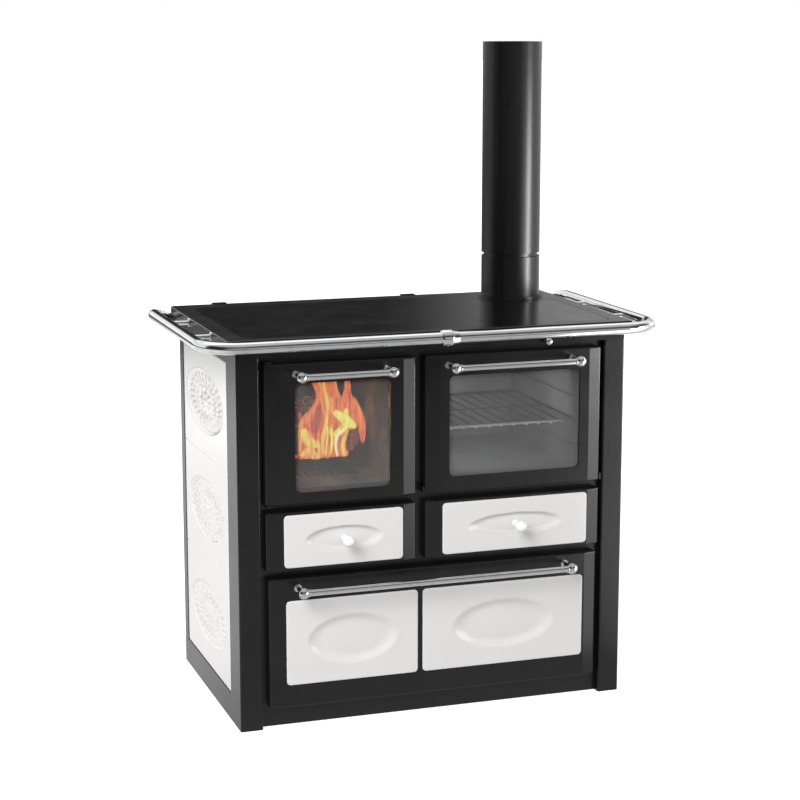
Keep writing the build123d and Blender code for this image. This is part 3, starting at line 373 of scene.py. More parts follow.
def fireBrick(shader, look):
    point = shader.place()
    flecks = shader.axes(shader.cells(point, look["fleckScale"], out="Color"))[1]
    pores = shader.cells(point, look["poreScale"]).step(*look["poreSize"])
    lumps = shader.cloud(point, look["lumpScale"], detail=4)
    soot = shader.cloud(point, look["sootScale"], detail=5).step(*look["sootFrom"])
    bare = shader.mix(flecks.step(*look["fleckFrom"]), look["colour"], look["fleck"])
    return {
        "Base Color": shader.mix(soot * look["sootCover"], bare, look["soot"]),
        "Roughness": look["roughness"] + look["spread"] * (1 - soot),
        "Normal": shader.bump(pores + look["lumpShare"] * lumps, look["depth"], look["bumped"]),
    }


ovenLook = {"colour": (0.15, 0.152, 0.155), "pale": (0.2, 0.202, 0.205), "speck": (0.3, 0.3, 0.3),
            "roughness": 0.42, "ior": 1.45, "speckScale": 160, "speckSize": (0.1, 0.3),
            "patchScale": 10, "peelScale": 120, "depth": 0.0001, "paleFrom": (0.35, 0.75),
            "speckCover": 0.12, "spread": 0.15}


def greyEnamel(shader, look):
    point = shader.place()
    specks = 1 - shader.cells(point, look["speckScale"]).step(*look["speckSize"])
    patches = shader.cloud(point, look["patchScale"], detail=4)
    ground = shader.mix(patches.step(*look["paleFrom"]), look["colour"], look["pale"])
    return {
        "Base Color": shader.mix(specks * look["speckCover"], ground, look["speck"]),
        "Roughness": look["roughness"] + look["spread"] * patches,
        "IOR": look["ior"],
        "Normal": shader.bump(shader.cloud(point, look["peelScale"], detail=2), look["depth"]),
    }


barkLook = {"colour": (0.085, 0.05, 0.03), "ridge": (0.19, 0.13, 0.085),
            "char": (0.012, 0.011, 0.01), "glow": (1.0, 0.22, 0.02), "glowStrength": 1.2,
            "roughness": 0.85, "charScale": 20, "plates": (45, 130, 130), "fibres": (60, 900, 900),
            "depth": 0.002, "charFrom": (0.42, 0.62), "ridgeFrom": (0.02, 0.25),
            "crack": (0.0, 0.03), "plateEdge": (0.0, 0.2), "spread": 0.1, "fibreShare": 0.3,
            "bumped": 0.9}


def logBark(shader, look):
    # bark in plates, charred in patches, with embers glowing in the cracks
    plates = shader.cells(shader.place(look["plates"]), 1.0, "DISTANCE_TO_EDGE")
    fibres = shader.cloud(shader.place(look["fibres"]), 1, detail=3)
    char = shader.cloud(shader.place(), look["charScale"], detail=5).step(*look["charFrom"])
    bark = shader.mix(plates.step(*look["ridgeFrom"]), look["colour"], look["ridge"])
    glow = (1 - plates.step(*look["crack"])) * char
    return {
        "Base Color": shader.mix(char, bark, look["char"]),
        "Roughness": look["roughness"] + look["spread"] * fibres,
        "Emission Color": shader.mix(glow, (0, 0, 0), look["glow"]),
        "Emission Strength": look["glowStrength"],
        "Normal": shader.bump(plates.step(*look["plateEdge"]) + look["fibreShare"] * fibres,
                              look["depth"], look["bumped"]),
    }


endLook = {"colour": (0.34, 0.2, 0.1), "ring": (0.2, 0.105, 0.05), "crack": (0.02, 0.016, 0.013),
           "roughness": 0.8, "ringTurns": 2400, "wobble": 0.0022, "wobbleScale": 55,
           "cracking": (20, 420, 420), "depth": 0.0009, "ringFrom": (-0.6, 0.9),
           "crackFrom": (0.5, 0.66), "crackSunk": (0.45, 0.65), "spread": 0.1, "ringShare": 0.4}


def logEnd(shader, look):
    # growth rings round each log's own heart, from the ring the mesh carries
    wobble = shader.cloud(shader.place(), look["wobbleScale"], detail=3)
    ring = shader.carried("ringRadius") + look["wobble"] * wobble
    rings = (ring * look["ringTurns"]).sine()
    cracks = shader.cloud(shader.place(look["cracking"]), 1, detail=2)
    wood = shader.mix(rings.step(*look["ringFrom"]), look["colour"], look["ring"])
    return {
        "Base Color": shader.mix(cracks.step(*look["crackFrom"]), wood, look["crack"]),
        "Roughness": look["roughness"] + look["spread"] * wobble,
        "Normal": shader.bump(rings * look["ringShare"] - cracks.step(*look["crackSunk"]),
                              look["depth"]),
    }


emberLook = {"char": (0.02, 0.018, 0.016), "ash": (0.3, 0.28, 0.26), "roughness": 0.95,
             "stops": [(0.0, (0, 0, 0)), (0.35, (0.8, 0.06, 0.004)), (0.8, (1.0, 0.35, 0.03))],
             "strength": 1.6, "veinScale": 120, "heatScale": 28, "ashScale": 150, "depth": 0.001,
             "veinWidth": (0.0, 0.2), "heatFrom": (0.35, 0.6), "ashFrom": (0.4, 0.7), "spread": 0.1}


def ember(shader, look):
    point = shader.place()
    veins = shader.cells(point, look["veinScale"], "DISTANCE_TO_EDGE")
    hot = shader.cloud(point, look["heatScale"], detail=4).step(*look["heatFrom"])
    heat = (1 - veins.step(*look["veinWidth"])) * hot
    ash = shader.cloud(point, look["ashScale"], detail=3)
    return {
        "Base Color": shader.mix(ash.step(*look["ashFrom"]), look["char"], look["ash"]),
        "Roughness": look["roughness"] - look["spread"] * ash,
        "Emission Color": shader.ramp(heat, look["stops"]),
        "Emission Strength": look["strength"],
        "Normal": shader.bump(ash, look["depth"]),
    }


fireLook = {
    "stops": [(0.0, (0.34, 0.07, 0.07)), (0.12, (0.55, 0.1, 0.07)), (0.27, (0.86, 0.18, 0.06)),
              (0.48, (1.0, 0.36, 0.12)), (0.66, (1.0, 0.66, 0.18)), (0.84, (1.0, 0.9, 0.1)),
              (1.0, (1.0, 1.0, 0.72))],
    "strength": 1.35, "streaks": (190, 60, 22), "streakHeat": 0.9, "streakCover": 1.2,
    "veil": 0.75, "veilFrom": 0.3,
}


def flame(shader, look):
    # heat and cover come with each tongue's mesh, and upright streaks run through both
    streaks = shader.cloud(shader.place(look["streaks"]), 1, detail=4, rough=0.6)
    heat = shader.carried("fireHeat") + look["streakHeat"] * (streaks - 0.5)
    veil = (look["veil"] + look["streakCover"] * (streaks - look["veilFrom"])).least(1.0)
    return {
        "Base Color": (0, 0, 0, 1),
        "Specular IOR Level": 0.0,
        "Emission Color": shader.ramp(heat, look["stops"]),
        "Emission Strength": look["strength"],
        "Alpha": shader.carried("fireCover") * veil,
    }


# front is the colour of the painted highlight on the rack's front bar
rackLook = {"front": (0.95, 0.95, 0.95), "litFrontDepth": (0.007, 0.012),
            "colour": (0.15, 0.15, 0.152), "stain": (0.08, 0.075, 0.07), "stainScale": 18,
            "roughness": 0.3, "grainScale": 900, "depth": 0.00003, "stainFrom": (0.35, 0.75),
            "spread": 0.2}


def rackWire(shader, look):
    # heat has darkened the wires, and the front bar is painted bright: a painted highlight where it
    # catches the light
    point = shader.place()
    stains = shader.cloud(point, look["stainScale"], detail=3)
    # 0 on the front bar, where the highlight is painted, and 1 behind it
    behind = (shader.axes(point)[1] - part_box("oven_rack")[0].y).step(*look["litFrontDepth"])
    stained = shader.mix(stains.step(*look["stainFrom"]), look["colour"], look["stain"])
    return {
        "Base Color": shader.mix(behind, look["front"], stained),
        "Metallic": 1.0,
        "Roughness": look["roughness"] + look["spread"] * stains,
        "Normal": shader.bump(shader.cloud(point, look["grainScale"], detail=2), look["depth"]),
    }


zincLook = {"colour": (0.5, 0.5, 0.49), "dull": (0.36, 0.355, 0.34), "roughness": 0.3,
            "markScale": 1500, "depth": 0.00003, "dullFrom": (0.4, 0.7), "spread": 0.2}


def zincScrew(shader, look):
    marks = shader.cloud(shader.place(), look["markScale"], detail=2)
    return {
        "Base Color": shader.mix(marks.step(*look["dullFrom"]), look["colour"], look["dull"]),
        "Metallic": 1.0,
        "Roughness": look["roughness"] + look["spread"] * marks,
        "Normal": shader.bump(marks, look["depth"]),
    }


paints = {
    "black_enamel": (blackEnamel, enamelLook), "cast_black": (castBlack, castLook),
    "hot_plate": (hotPlate, plateLook), "white_tile": (whiteGlaze, glazeLook),
    "white_ball": (whiteBall, ballLook), "chrome": (chrome, chromeLook),
    "door_glass": (doorGlass, glassLook), "rope": (glassRope, ropeLook),
    "sheet_steel": (sheetSteel, steelLook), "black_pipe": (blackPipe, pipeLook),
    "rack_wire": (rackWire, rackLook), "firebrick": (fireBrick, brickLook),
    "logs": (logBark, barkLook), "grey_enamel": (greyEnamel, ovenLook),
    "logEnd": (logEnd, endLook), "ember": (ember, emberLook), "flame": (flame, fireLook),
    "zincScrew": (zincScrew, zincLook),
}
finishes = {name: makeFinish(paint.__name__, paint, look) for name, (paint, look) in paints.items()}

for nodeName, node in frame["nodes"].items():
    node.data.materials.clear()
    finish = "rack_wire" if nodeName == "oven_rack" else slotOf[nodeName]
    node.data.materials.append(finishes[finish])
print("finishes made:", len(finishes))


postFace = 247.375  # how far the front of the corner posts lies before the origin, in mm


def at(x, y, z):
    # a point in mm, with y from the front face of the corner posts
    return np.array((x, y - postFace, z), float) / 1000


def squareTo(axis):
    # the axis at length one, and two directions square to it
    axis = np.array(Vector(axis).normalized())
    side = np.array(Vector(axis).orthogonal().normalized())
    return axis, side, np.cross(axis, side)


def circle(count):
    return np.linspace(0, 2 * math.pi, count, endpoint=False)


class Blank:
    # points and faces gathered for one piece
    def __init__(self):
        self.points = []
        self.faces = []
        # a painted shade for each point, darker where a tile's relief is steep
        self.reliefShades = []

    def add(self, points, faces):
        start = len(self.points)
        self.points.extend(tuple(p) for p in points)
        self.faces.extend(tuple(start + i for i in face) for face in faces)
        return start

    def sheet(self, rows, roundAcross=False, roundAlong=False):
        # a skin over rows of points; either direction may close on itself
        rows = np.asarray(rows, float)
        down, across = rows.shape[:2]
        faces = []
        for i in range(down if roundAlong else down - 1):
            for j in range(across if roundAcross else across - 1):
                k, m = (i + 1) % down, (j + 1) % across
                faces.append((i * across + j, i * across + m, k * across + m, k * across + j))
        return self.add(rows.reshape(-1, 3), faces)

    def turned(self, profile, centre, axis, around):
        # profile is (radius, height) pairs from one end to the other; it is capped at both ends
        axis, side, other = squareTo(axis)
        angles = circle(around)
        ring = np.outer(np.cos(angles), side) + np.outer(np.sin(angles), other)
        rows = [np.asarray(centre) + r * ring + h * axis for r, h in profile]
        start = self.sheet(rows, roundAcross=True)
        last = start + (len(profile) - 1) * around
        self.faces.append(tuple(start + i for i in reversed(range(around))))
        self.faces.append(tuple(last + i for i in range(around)))


def addValues(piece, **layers):
    # one value for each point, which the finish reads by name
    for name, values in layers.items():
        layer = piece.data.attributes.new(name, "FLOAT", "POINT")
        layer.data.foreach_set("value", values)


def makePiece(name, blank, finish, body, sharp, stands=()):
    mesh = bpy.data.meshes.new(name)
    mesh.from_pydata(blank.points, [], blank.faces)
    work = bmesh.new()
    work.from_mesh(mesh)
    bmesh.ops.recalc_face_normals(work, faces=work.faces)
    work.to_mesh(mesh)
    work.free()
    mesh.shade_smooth()
    mesh.set_sharp_from_angle(angle=math.radians(sharp))
    mesh.materials.append(finishes[finish])
    obj = bpy.data.objects.new(name, mesh)
    bpy.context.scene.collection.objects.link(obj)
    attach(obj, body)
    if stands:
        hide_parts(*stands)
    # the painted shade over steep relief goes on the mesh as a value per point
    if blank.reliefShades:
        addValues(obj, glazeThin=blank.reliefShades)
    return obj


def boxOf(nodeName, unit=1):
    # the low and high corners of a node, in metres or in parts of one
    low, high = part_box(nodeName)
    return np.array(low) * unit, np.array(high) * unit


# in mm, but for shares: crown is one of the dish's depth; wall, rim and reach are of its half width
# the two slope values at the end set where the painted shade over steep relief begins and how fast it
# deepens
tileShape = {"edge": 2.2, "corner": 9.0, "rimLift": 0.35, "rimWidth": 0.035, "rimAt": 1.05,
             "dishDepth": 6.5, "wall": 0.3, "crown": 0.3, "crownReach": 0.8, "grid": (72, 40),
             "reliefShadeFrom": 0.5, "reliefShadeOver": 0.7, "sharp": 50}


def edgeSteps(half, edge, count):
    # grid lines from -half to half, closer together over the rounded edge
    near = [0, 0.06, 0.18, 0.38, 0.68, 1.0]
    outer = [half - edge * n for n in near]
    inner = list(np.linspace(-outer[-1], outer[-1], count))
    return np.array([-v for v in outer[:-1]] + inner + outer[:-1][::-1])


def tileSheet(blank, width, height, thick, corner, edge, relief, toPlace, counts):
    # a closed tile: a face shaped by relief, rounded edges, straight sides and a flat back
    us = edgeSteps(width / 2, edge, counts[0])
    vs = edgeSteps(height / 2, edge, counts[1])
    u, v = np.meshgrid(us, vs)
    inner = np.minimum(width / 2 - np.abs(u), height / 2 - np.abs(v))
    du = np.maximum(np.abs(u) - (width / 2 - corner), 0)
    dv = np.maximum(np.abs(v) - (height / 2 - corner), 0)
    scale = np.maximum(du, dv) / np.maximum(np.hypot(du, dv), 1e-9)
    inCorner = (du > 0) & (dv > 0)
    u = np.where(inCorner, np.sign(u) * (width / 2 - corner + du * scale), u)
    v = np.where(inCorner, np.sign(v) * (height / 2 - corner + dv * scale), v)
    inner = np.where(inCorner, corner - np.maximum(du, dv), inner)
    roll = np.clip(1 - inner / edge, 0, 1)
    drop = edge * (1 - np.sqrt(np.maximum(1 - roll ** 2, 0)))
    start = blank.sheet(toPlace(u, v, relief(u, v) - drop))
    # the steeper the relief, the more of the darker edge tone: painted shade along the relief
    slopes = np.hypot(*np.gradient(relief(*np.meshgrid(us, vs)), vs, us)).ravel()
    thin = (slopes - tileShape["reliefShadeFrom"]) / tileShape["reliefShadeOver"]
    rows, across = u.shape
    border = [(0, j) for j in range(across)] + [(i, across - 1) for i in range(1, rows)]
    border += [(rows - 1, j) for j in range(across - 2, -1, -1)]
    border += [(i, 0) for i in range(rows - 2, 0, -1)]
    count = len(border)
    rim = [start + i * across + j for i, j in border]
    rimU, rimV = (np.array([grid[place] for place in border]) for grid in (u, v))
    back = blank.add(toPlace(rimU, rimV, np.full(count, -thick)), [])
    blank.reliefShades.extend([*np.clip(thin, 0, 1), *[0.0] * count])
    for n in range(count):
        m = (n + 1) % count
        blank.faces.append((rim[n], rim[m], back + m, back + n))
    blank.faces.append(tuple(back + n for n in range(count)))


def softDish(u, v, halfWidth, halfHeight):
    # a shallow oval hollow with a low bead round it and a gently crowned floor
    q = np.sqrt((u / halfWidth) ** 2 + (v / halfHeight) ** 2)
    wall = np.clip((1.0 - q) / tileShape["wall"], 0, 1)
    hollow = -tileShape["dishDepth"] * (1 - (1 - wall) ** 2)
    crown = np.clip(1 - (q / tileShape["crownReach"]) ** 2, 0, 1) ** 1.5
    bead = np.exp(-((q - tileShape["rimAt"]) / tileShape["rimWidth"]) ** 2)
    return (hollow + tileShape["crown"] * tileShape["dishDepth"] * crown
            + tileShape["rimLift"] * (bead - 1))


# the body that each tile rides on, and the width and height of its oval dishes
frontTiles = {
    "ash_drawer_tile": ("ash_drawer", [(173, 55)]),
    "right_drawer_tile": ("right_drawer", [(222, 50)]),
    "wood_drawer_tiles": ("wood_drawer", [(202, 108), (236, 108)]),
}
woodTileGap = {"from": -44.5, "to": -33.5}


def makeFrontTiles():
    for nodeName, (body, dishes) in frontTiles.items():
        low, high = boxOf(nodeName, 1000)
        ends = [low[0], high[0]]
        if len(dishes) == 2:
            ends = [low[0], woodTileGap["from"], woodTileGap["to"], high[0]]
        blank = Blank()
        midZ = (low[2] + high[2]) / 2
        for x0, x1, (dishWidth, dishHeight) in zip(ends[::2], ends[1::2], dishes):

            def toPlace(u, v, lift):
                return np.stack([u + (x0 + x1) / 2, low[1] - lift, v + midZ], -1) / 1000

            def relief(u, v):
                return softDish(u, v, dishWidth / 2, dishHeight / 2)

            tileSheet(blank, x1 - x0, high[2] - low[2], high[1] - low[1], tileShape["corner"],
                      tileShape["edge"], relief, toPlace, tileShape["grid"])
        makePiece(nodeName + "_glazed", blank, "white_tile", body, tileShape["sharp"],
                  [nodeName])


makeFrontTiles()

# in mm, but for the dish's wall, which is a share of its half width
sideTile = {"rows": 3, "gap": 0.3, "edge": 1.4, "corner": 3.0, "sink": 0.5, "grid": (150, 96),
            "dishWidth": 340.0, "dishHeight": 138.0, "floor": 3.4, "wall": 0.08}
# the relief, in shares of the dish's half width and in mm of height
wreathShape = {"leaves": 26, "leafHeight": 2.6, "leafWidth": 0.36, "leafTwist": 2.2, "vein": 0.25,
               "veinWidth": 0.16, "leafRings": ((0.8, 0.13, 1.0), (0.62, 0.11, -1.0)),
               "vineAt": 0.47, "vineSway": 0.045, "vineTurns": 14, "vineWidth": 0.018,
               "vineHeight": 2.0, "petals": 8, "heart": 0.14, "petalReach": 0.2, "bloomHeight": 2.4,
               "ringAt": 0.12, "ringWidth": 0.02, "ringDepth": 0.9, "beadAt": 1.03,
               "beadWidth": 0.014, "beadHeight": 0.5}


def ridge(distance, width):
    return np.exp(-(distance / width) ** 2)


def wreath(u, v):
    # a generic oval of leaves round a rosette, raised from a shallow dish
    look = wreathShape
    a, b = sideTile["dishWidth"] / 2, sideTile["dishHeight"] / 2
    q = np.sqrt((u / a) ** 2 + (v / b) ** 2)
    turn = np.arctan2(v / b, u / a)
    wall = np.clip((1.0 - q) / sideTile["wall"], 0, 1)
    rise = np.zeros_like(q)
    for ring, length, twist in look["leafRings"]:
        phase = turn * look["leaves"] / (2 * math.pi) + twist * look["leafTwist"] * (q - ring)
        across = (phase - np.round(phase)) / look["leafWidth"]
        leaf = np.clip(1 - across ** 2 - ((q - ring) / length) ** 2, 0, 1)
        vein = look["vein"] * ridge(across, look["veinWidth"]) * (leaf > 0)
        rise = np.maximum(rise, (leaf ** 0.6 - vein) * look["leafHeight"])
    vine = q - look["vineAt"] - look["vineSway"] * np.sin(turn * look["vineTurns"])
    rise = np.maximum(rise, look["vineHeight"] * ridge(vine, look["vineWidth"]))
    petals = np.abs(np.cos(turn * look["petals"] / 2)) ** 0.8
    bloom = np.clip(1 - (q / (look["heart"] + look["petalReach"] * petals)) ** 2, 0, 1) ** 0.5
    heart = look["ringDepth"] * ridge(q - look["ringAt"], look["ringWidth"])
    rise = np.maximum(rise, look["bloomHeight"] * bloom - heart)
    bead = look["beadHeight"] * ridge(q - look["beadAt"], look["beadWidth"])
    return rise * wall + bead - sideTile["floor"] * wall * wall * (3 - 2 * wall)


def makeSideTiles():
    for nodeName, outward in (("side_tiles_left", -1), ("side_tiles_right", 1)):
        low, high = boxOf(nodeName, 1000)
        faceX, midY = low[0] if outward < 0 else high[0], (low[1] + high[1]) / 2
        pitch = (high[2] - low[2] + sideTile["gap"]) / sideTile["rows"]
        blank = Blank()
        for row in range(sideTile["rows"]):
            midZ = low[2] + pitch * (row + 0.5) - sideTile["gap"] / 2

            def toPlace(u, v, lift):
                return np.stack([faceX + outward * lift, u + midY, v + midZ], -1) / 1000

            def relief(u, v):
                return wreath(u, v) - sideTile["sink"]

            tileSheet(blank, high[1] - low[1], pitch - sideTile["gap"], high[0] - low[0],
                      sideTile["corner"], sideTile["edge"], relief, toPlace, sideTile["grid"])
        makePiece(nodeName + "_glazed", blank, "white_tile", "stove", tileShape["sharp"],
                  [nodeName])


makeSideTiles()
print("tiles glazed")


# in metres, but for shares of the rope's half width; each strand winds round it as a bulge
ropeShape = {"strand": 0.0085, "plies": 3, "around": 14, "stepsPerMetre": 560, "bulge": 0.07,
             "halfWidth": 0.004, "corner": 0.007, "cornerSteps": 7, "fill": 0.98, "square": 0.7}


def roundedLoop(low, high):
    # points round an upright rectangle with rounded corners, and how far along each one lies
    radius = ropeShape["corner"]
    x0, z0, x1, z1 = low[0] + radius, low[2] + radius, high[0] - radius, high[2] - radius
    middles = [(x1, z0, -math.pi / 2), (x1, z1, 0), (x0, z1, math.pi / 2), (x0, z0, math.pi)]
    route = [(x + radius * math.cos(angle), z + radius * math.sin(angle))
             for x, z, start in middles
             for angle in np.linspace(start, start + math.pi / 2, ropeShape["cornerSteps"])]
    route = np.array(route + route[:1])
    reach = np.concatenate([[0], np.cumsum(np.hypot(*np.diff(route, axis=0).T))])
    count = int(reach[-1] * ropeShape["stepsPerMetre"])
    steps = np.linspace(0, reach[-1], count, endpoint=False)
    return np.stack([np.interp(steps, reach, side) for side in route.T], -1), steps


def makeSeal(nodeName, body):
    low, high = boxOf(nodeName)
    midY = (low[1] + high[1]) / 2
    half = (ropeShape["halfWidth"], (high[1] - low[1]) / 2)
    inset = np.array((half[0], 0, half[0]))
    line, steps = roundedLoop(low + inset, high - inset)
    ahead = np.roll(line, -1, 0) - np.roll(line, 1, 0)
    ahead /= np.linalg.norm(ahead, axis=1)[:, None]
    angles = circle(ropeShape["around"])
    section = [np.sign(side) * np.abs(side) ** ropeShape["square"]
               for side in (np.cos(angles), np.sin(angles))]
    rows = []
    for point, (aheadX, aheadZ), s in zip(line, ahead, steps):
        wave = s / ropeShape["strand"] * 2 * math.pi
        plies = ropeShape["plies"] * angles
        ply = np.abs(np.sin(plies + wave)) + np.abs(np.sin(plies - wave))
        swell = ropeShape["fill"] * (1 - ropeShape["bulge"] * (2 - ply))
        across, through = (h * swell * side for h, side in zip(half, section))
        rows.append(np.stack([point[0] + across * aheadZ, midY + through,
                              point[1] - across * aheadX], -1))
    blank = Blank()
    blank.sheet(rows, roundAcross=True, roundAlong=True)
    makePiece(nodeName + "_braid", blank, "rope", body, sharp=180, stands=[nodeName])


makeSeal("firebox_seal", "firebox_door")
makeSeal("oven_seal", "oven_door")
print("door ropes braided")


# in mm; the seeds and the bark's pitches, round a log and along it, are for the noise
logShape = {"radius": 36.0, "length": 205.0, "middle": (-221.75, 236.5), "spread": 41.0,
            "grateTop": 559.0, "around": 72, "steps": 64, "seeds": (0.0, 37.0, 71.0)}
barkShape = {"share": 0.9, "bend": 0.02, "bendPitch": 0.012, "lump": 0.07, "lumpPitch": (0.9, 0.011),
             "plate": 0.5, "platePitch": (3.5, 0.03), "groove": 1.9, "grooveWidth": 0.25,
             "groovePitch": (4.6, 0.035), "skin": 0.4}
logEndShape = {"rings": 12, "heart": 0.05, "dish": 0.0012, "ringRadius": 0.034}


def barkRadius(x, angle, seed):
    def place(pitch, swap):
        # a point on the log's skin for the noise; the seed moves it so that no two logs match
        around, along = pitch
        u, v = math.cos(angle) * around, math.sin(angle) * around
        return Vector((u, v + seed, x * along) if swap else (u + seed, v, x * along))

    look = barkShape
    bend = noise.noise(Vector((x * look["bendPitch"], seed, 0)))
    lump = noise.noise(place(look["lumpPitch"], True))
    plate = noise.cell(place(look["platePitch"], False))
    groove = abs(noise.noise(place(look["groovePitch"], False)))
    depth = max(0.0, look["grooveWidth"] - groove) / look["grooveWidth"]
    radius = logShape["radius"] * (look["share"] + look["lump"] * lump + look["bend"] * bend)
    radius += look["plate"] * (plate - 0.5) - look["groove"] * depth
    return min(radius, logShape["radius"] - look["skin"])


def makeLogs():
    radius, spread, around = (logShape[key] for key in ("radius", "spread", "around"))
    low = logShape["grateTop"] + radius
    top = low + math.sqrt((2 * radius) ** 2 - spread ** 2)
    middleX, middleY = logShape["middle"]
    bark, ends = Blank(), Blank()
    ringValues = []
    centres = ((middleY - spread, low), (middleY + spread, low), (middleY, top))
    for (midY, midZ), seed in zip(centres, logShape["seeds"]):
        rows = []
        for x in np.linspace(-logShape["length"] / 2, logShape["length"] / 2, logShape["steps"]):
            ring = []
            for angle in circle(around):
                r = barkRadius(x, angle, seed)
                ring.append(at(middleX + x, midY + r * math.cos(angle), midZ + r * math.sin(angle)))
            rows.append(ring)
        bark.sheet(rows, roundAcross=True)
        for row, sign in ((rows[0], -1), (rows[-1], 1)):
            row = np.array(row)
            heart = row.mean(0)
            shares = np.linspace(1, logEndShape["heart"], logEndShape["rings"])
            discs = [heart + (row - heart) * share for share in shares]
            for disc, share in zip(discs, shares):
                disc[:, 0] -= sign * logEndShape["dish"] * (1 - share ** 2)
                ringValues.extend([share * logEndShape["ringRadius"]] * around)
            last = ends.sheet(discs, roundAcross=True) + (len(discs) - 1) * around
            ends.faces.append(tuple(last + i for i in range(around)))
    makePiece("logBark", bark, "logs", "stove", sharp=60, stands=["firewood"])
    piece = makePiece("logEnds", ends, "logEnd", "stove", sharp=60)
    addValues(piece, ringRadius=ringValues)


makeLogs()

# in mm, spread over the grate under the logs
emberBed = {"count": 120, "size": (4.0, 10.0), "stretch": (0.6, 1.0), "halfWidth": 80.0,
            "halfDepth": 68.0, "rough": 0.3, "roughScale": 1.9, "sunk": 0.75}


def makeEmbers():
    chance = np.random.default_rng(5)
    shape = bmesh.new()
    bmesh.ops.create_icosphere(shape, subdivisions=2, radius=1.0)
    ball = np.array([vertex.co for vertex in shape.verts])
    faces = [tuple(vertex.index for vertex in face.verts) for face in shape.faces]
    shape.free()
    blank = Blank()
    middleX, middleY = logShape["middle"]
    for number in range(emberBed["count"]):
        x = middleX + chance.uniform(-1, 1) * emberBed["halfWidth"]
        y = middleY + chance.uniform(-1, 1) * emberBed["halfDepth"]
        size = chance.uniform(*emberBed["size"])
        stretch = chance.uniform(*emberBed["stretch"], 3)
        rough = [1 + emberBed["rough"] * noise.noise(Vector(p) * emberBed["roughScale"]
                                                     + Vector((number, 0, 0))) for p in ball]
        z = logShape["grateTop"] + size * stretch[2] * emberBed["sunk"]
        blank.add(at(x, y, z) + ball * np.array(rough)[:, None] * size * stretch / 1000, faces)
    makePiece("embers", blank, "ember", "stove", sharp=30)


makeEmbers()
print("logs and embers laid")

# each tongue: depth y, heat and cover, then its line as (x, z, half width), in mm
flameTongues = {
    "body": (150, 0.27, 1, [
        (-210, 562, 59), (-211, 592, 57), (-209, 620, 59), (-203, 640, 62), (-196, 665, 53),
        (-197, 684, 38), (-199, 702, 29), (-204, 720, 28), (-212, 740, 32)]),
    "secondColumn": (156, 0.3, 1, [
        (-153, 620, 19), (-148, 647, 28), (-150, 670, 26), (-152, 688, 16), (-153, 711, 10),
        (-154, 736, 7)]),
    "tail": (144, 0.3, 0.95, [
        (-149, 695, 12), (-138, 672, 13), (-129, 648, 15), (-124, 625, 12), (-122, 605, 8),
        (-121, 589, 4)]),
    "darkPatch": (146, 0.02, 0.8, [
        (-220, 690, 4), (-223, 672, 9), (-227, 652, 12), (-230, 634, 12), (-232, 618, 7)]),
    "darkGap": (158, 0, 0.45, [(-140, 620, 9), (-136, 600, 13), (-143, 583, 11), (-148, 572, 7)]),
    "leftEdge": (140, 0.5, 0.7, [(-250, 670, 3), (-261, 653, 5), (-266, 630, 7), (-269, 572, 4)]),
    "leftPatch": (138, 0.7, 0.9, [
        (-262, 635, 7), (-257, 620, 13), (-248, 605, 15), (-232, 595, 10), (-221, 590, 4)]),
    "leftFoot": (134, 0.66, 0.8, [
        (-268, 571, 4), (-257, 580, 10), (-245, 586, 9), (-238, 572, 11), (-225, 571, 9)]),
    "leftTongue": (142, 0.36, 0.8, [
        (-258, 643, 4), (-247, 658, 9), (-237, 674, 8), (-228, 690, 6), (-226, 713, 6),
        (-230, 736, 6)]),
    "longStreak": (128, 0.66, 0.95, [
        (-216, 746, 4), (-214, 720, 5), (-208, 690, 5), (-208, 665, 5), (-213, 634, 6),
        (-218, 614, 6), (-219, 592, 5), (-218, 569, 4)]),
    "innerStreak": (130, 0.52, 0.8, [(-227, 744, 5), (-221, 720, 4), (-220, 693, 3), (-218, 666, 3)]),
    "topStreak": (132, 0.46, 0.8, [(-189, 740, 4), (-186, 717, 4), (-183, 699, 3)]),
    "middle": (134, 0.46, 0.9, [(-196, 704, 7), (-196, 686, 9), (-192, 668, 9), (-185, 654, 7)]),
    "core": (120, 0.84, 1, [
        (-197, 673, 6), (-187, 665, 10), (-175, 656, 14), (-164, 646, 15), (-152, 638, 10),
        (-143, 633, 4)]),
    "coreTop": (122, 0.78, 0.95, [(-165, 677, 4), (-168, 664, 9), (-170, 651, 11)]),
    "coreFoot": (118, 0.86, 1, [(-167, 642, 11), (-176, 631, 11), (-188, 623, 10), (-197, 615, 7)]),
    "whiteCurl": (110, 1, 1, [
        (-171, 632, 3), (-183, 628, 4), (-191, 618, 5), (-195, 603, 4), (-194, 587, 3),
        (-191, 571, 2.5)]),
    "brightFoot": (116, 0.82, 0.95, [(-203, 645, 3), (-203, 627, 5), (-201, 609, 4), (-206, 571, 4)]),
    "streakFoot": (124, 0.76, 0.9, [(-210, 640, 3), (-209, 620, 3), (-214, 570, 3)]),
    "rightFoot": (116, 0.6, 0.95, [(-164, 629, 3), (-171, 613, 6), (-176, 596, 6), (-173, 568, 8)]),
    "slit": (108, 0.12, 0.55, [(-183, 616, 3), (-187, 603, 4), (-187, 587, 2.5)]),
    "eye": (108, 0.36, 0.8, [(-203, 664, 4), (-202, 651, 6), (-205, 635, 4)]),
    "smallEye": (108, 0.5, 0.7, [(-186, 647, 2), (-182, 638, 3.5), (-185, 632, 2)]),
    "tailEdge": (136, 0.44, 0.7, [(-140, 689, 3), (-133, 673, 3.5), (-129, 645, 3), (-129, 616, 3)]),
    "tailTip": (134, 0.28, 0.8, [(-125, 650, 3), (-121, 631, 4), (-121, 613, 4), (-124, 598, 2.5)]),
    "footLeft": (126, 0.5, 0.7, [(-248, 568, 5), (-246, 600, 5), (-250, 622, 3)]),
    "footMiddle": (122, 0.72, 0.8, [(-230, 566, 4), (-229, 590, 4), (-232, 612, 2.5)]),
    "footStreak": (114, 0.4, 0.6, [(-213, 566, 2.5), (-212, 585, 2.5), (-214, 600, 1.5)]),
}
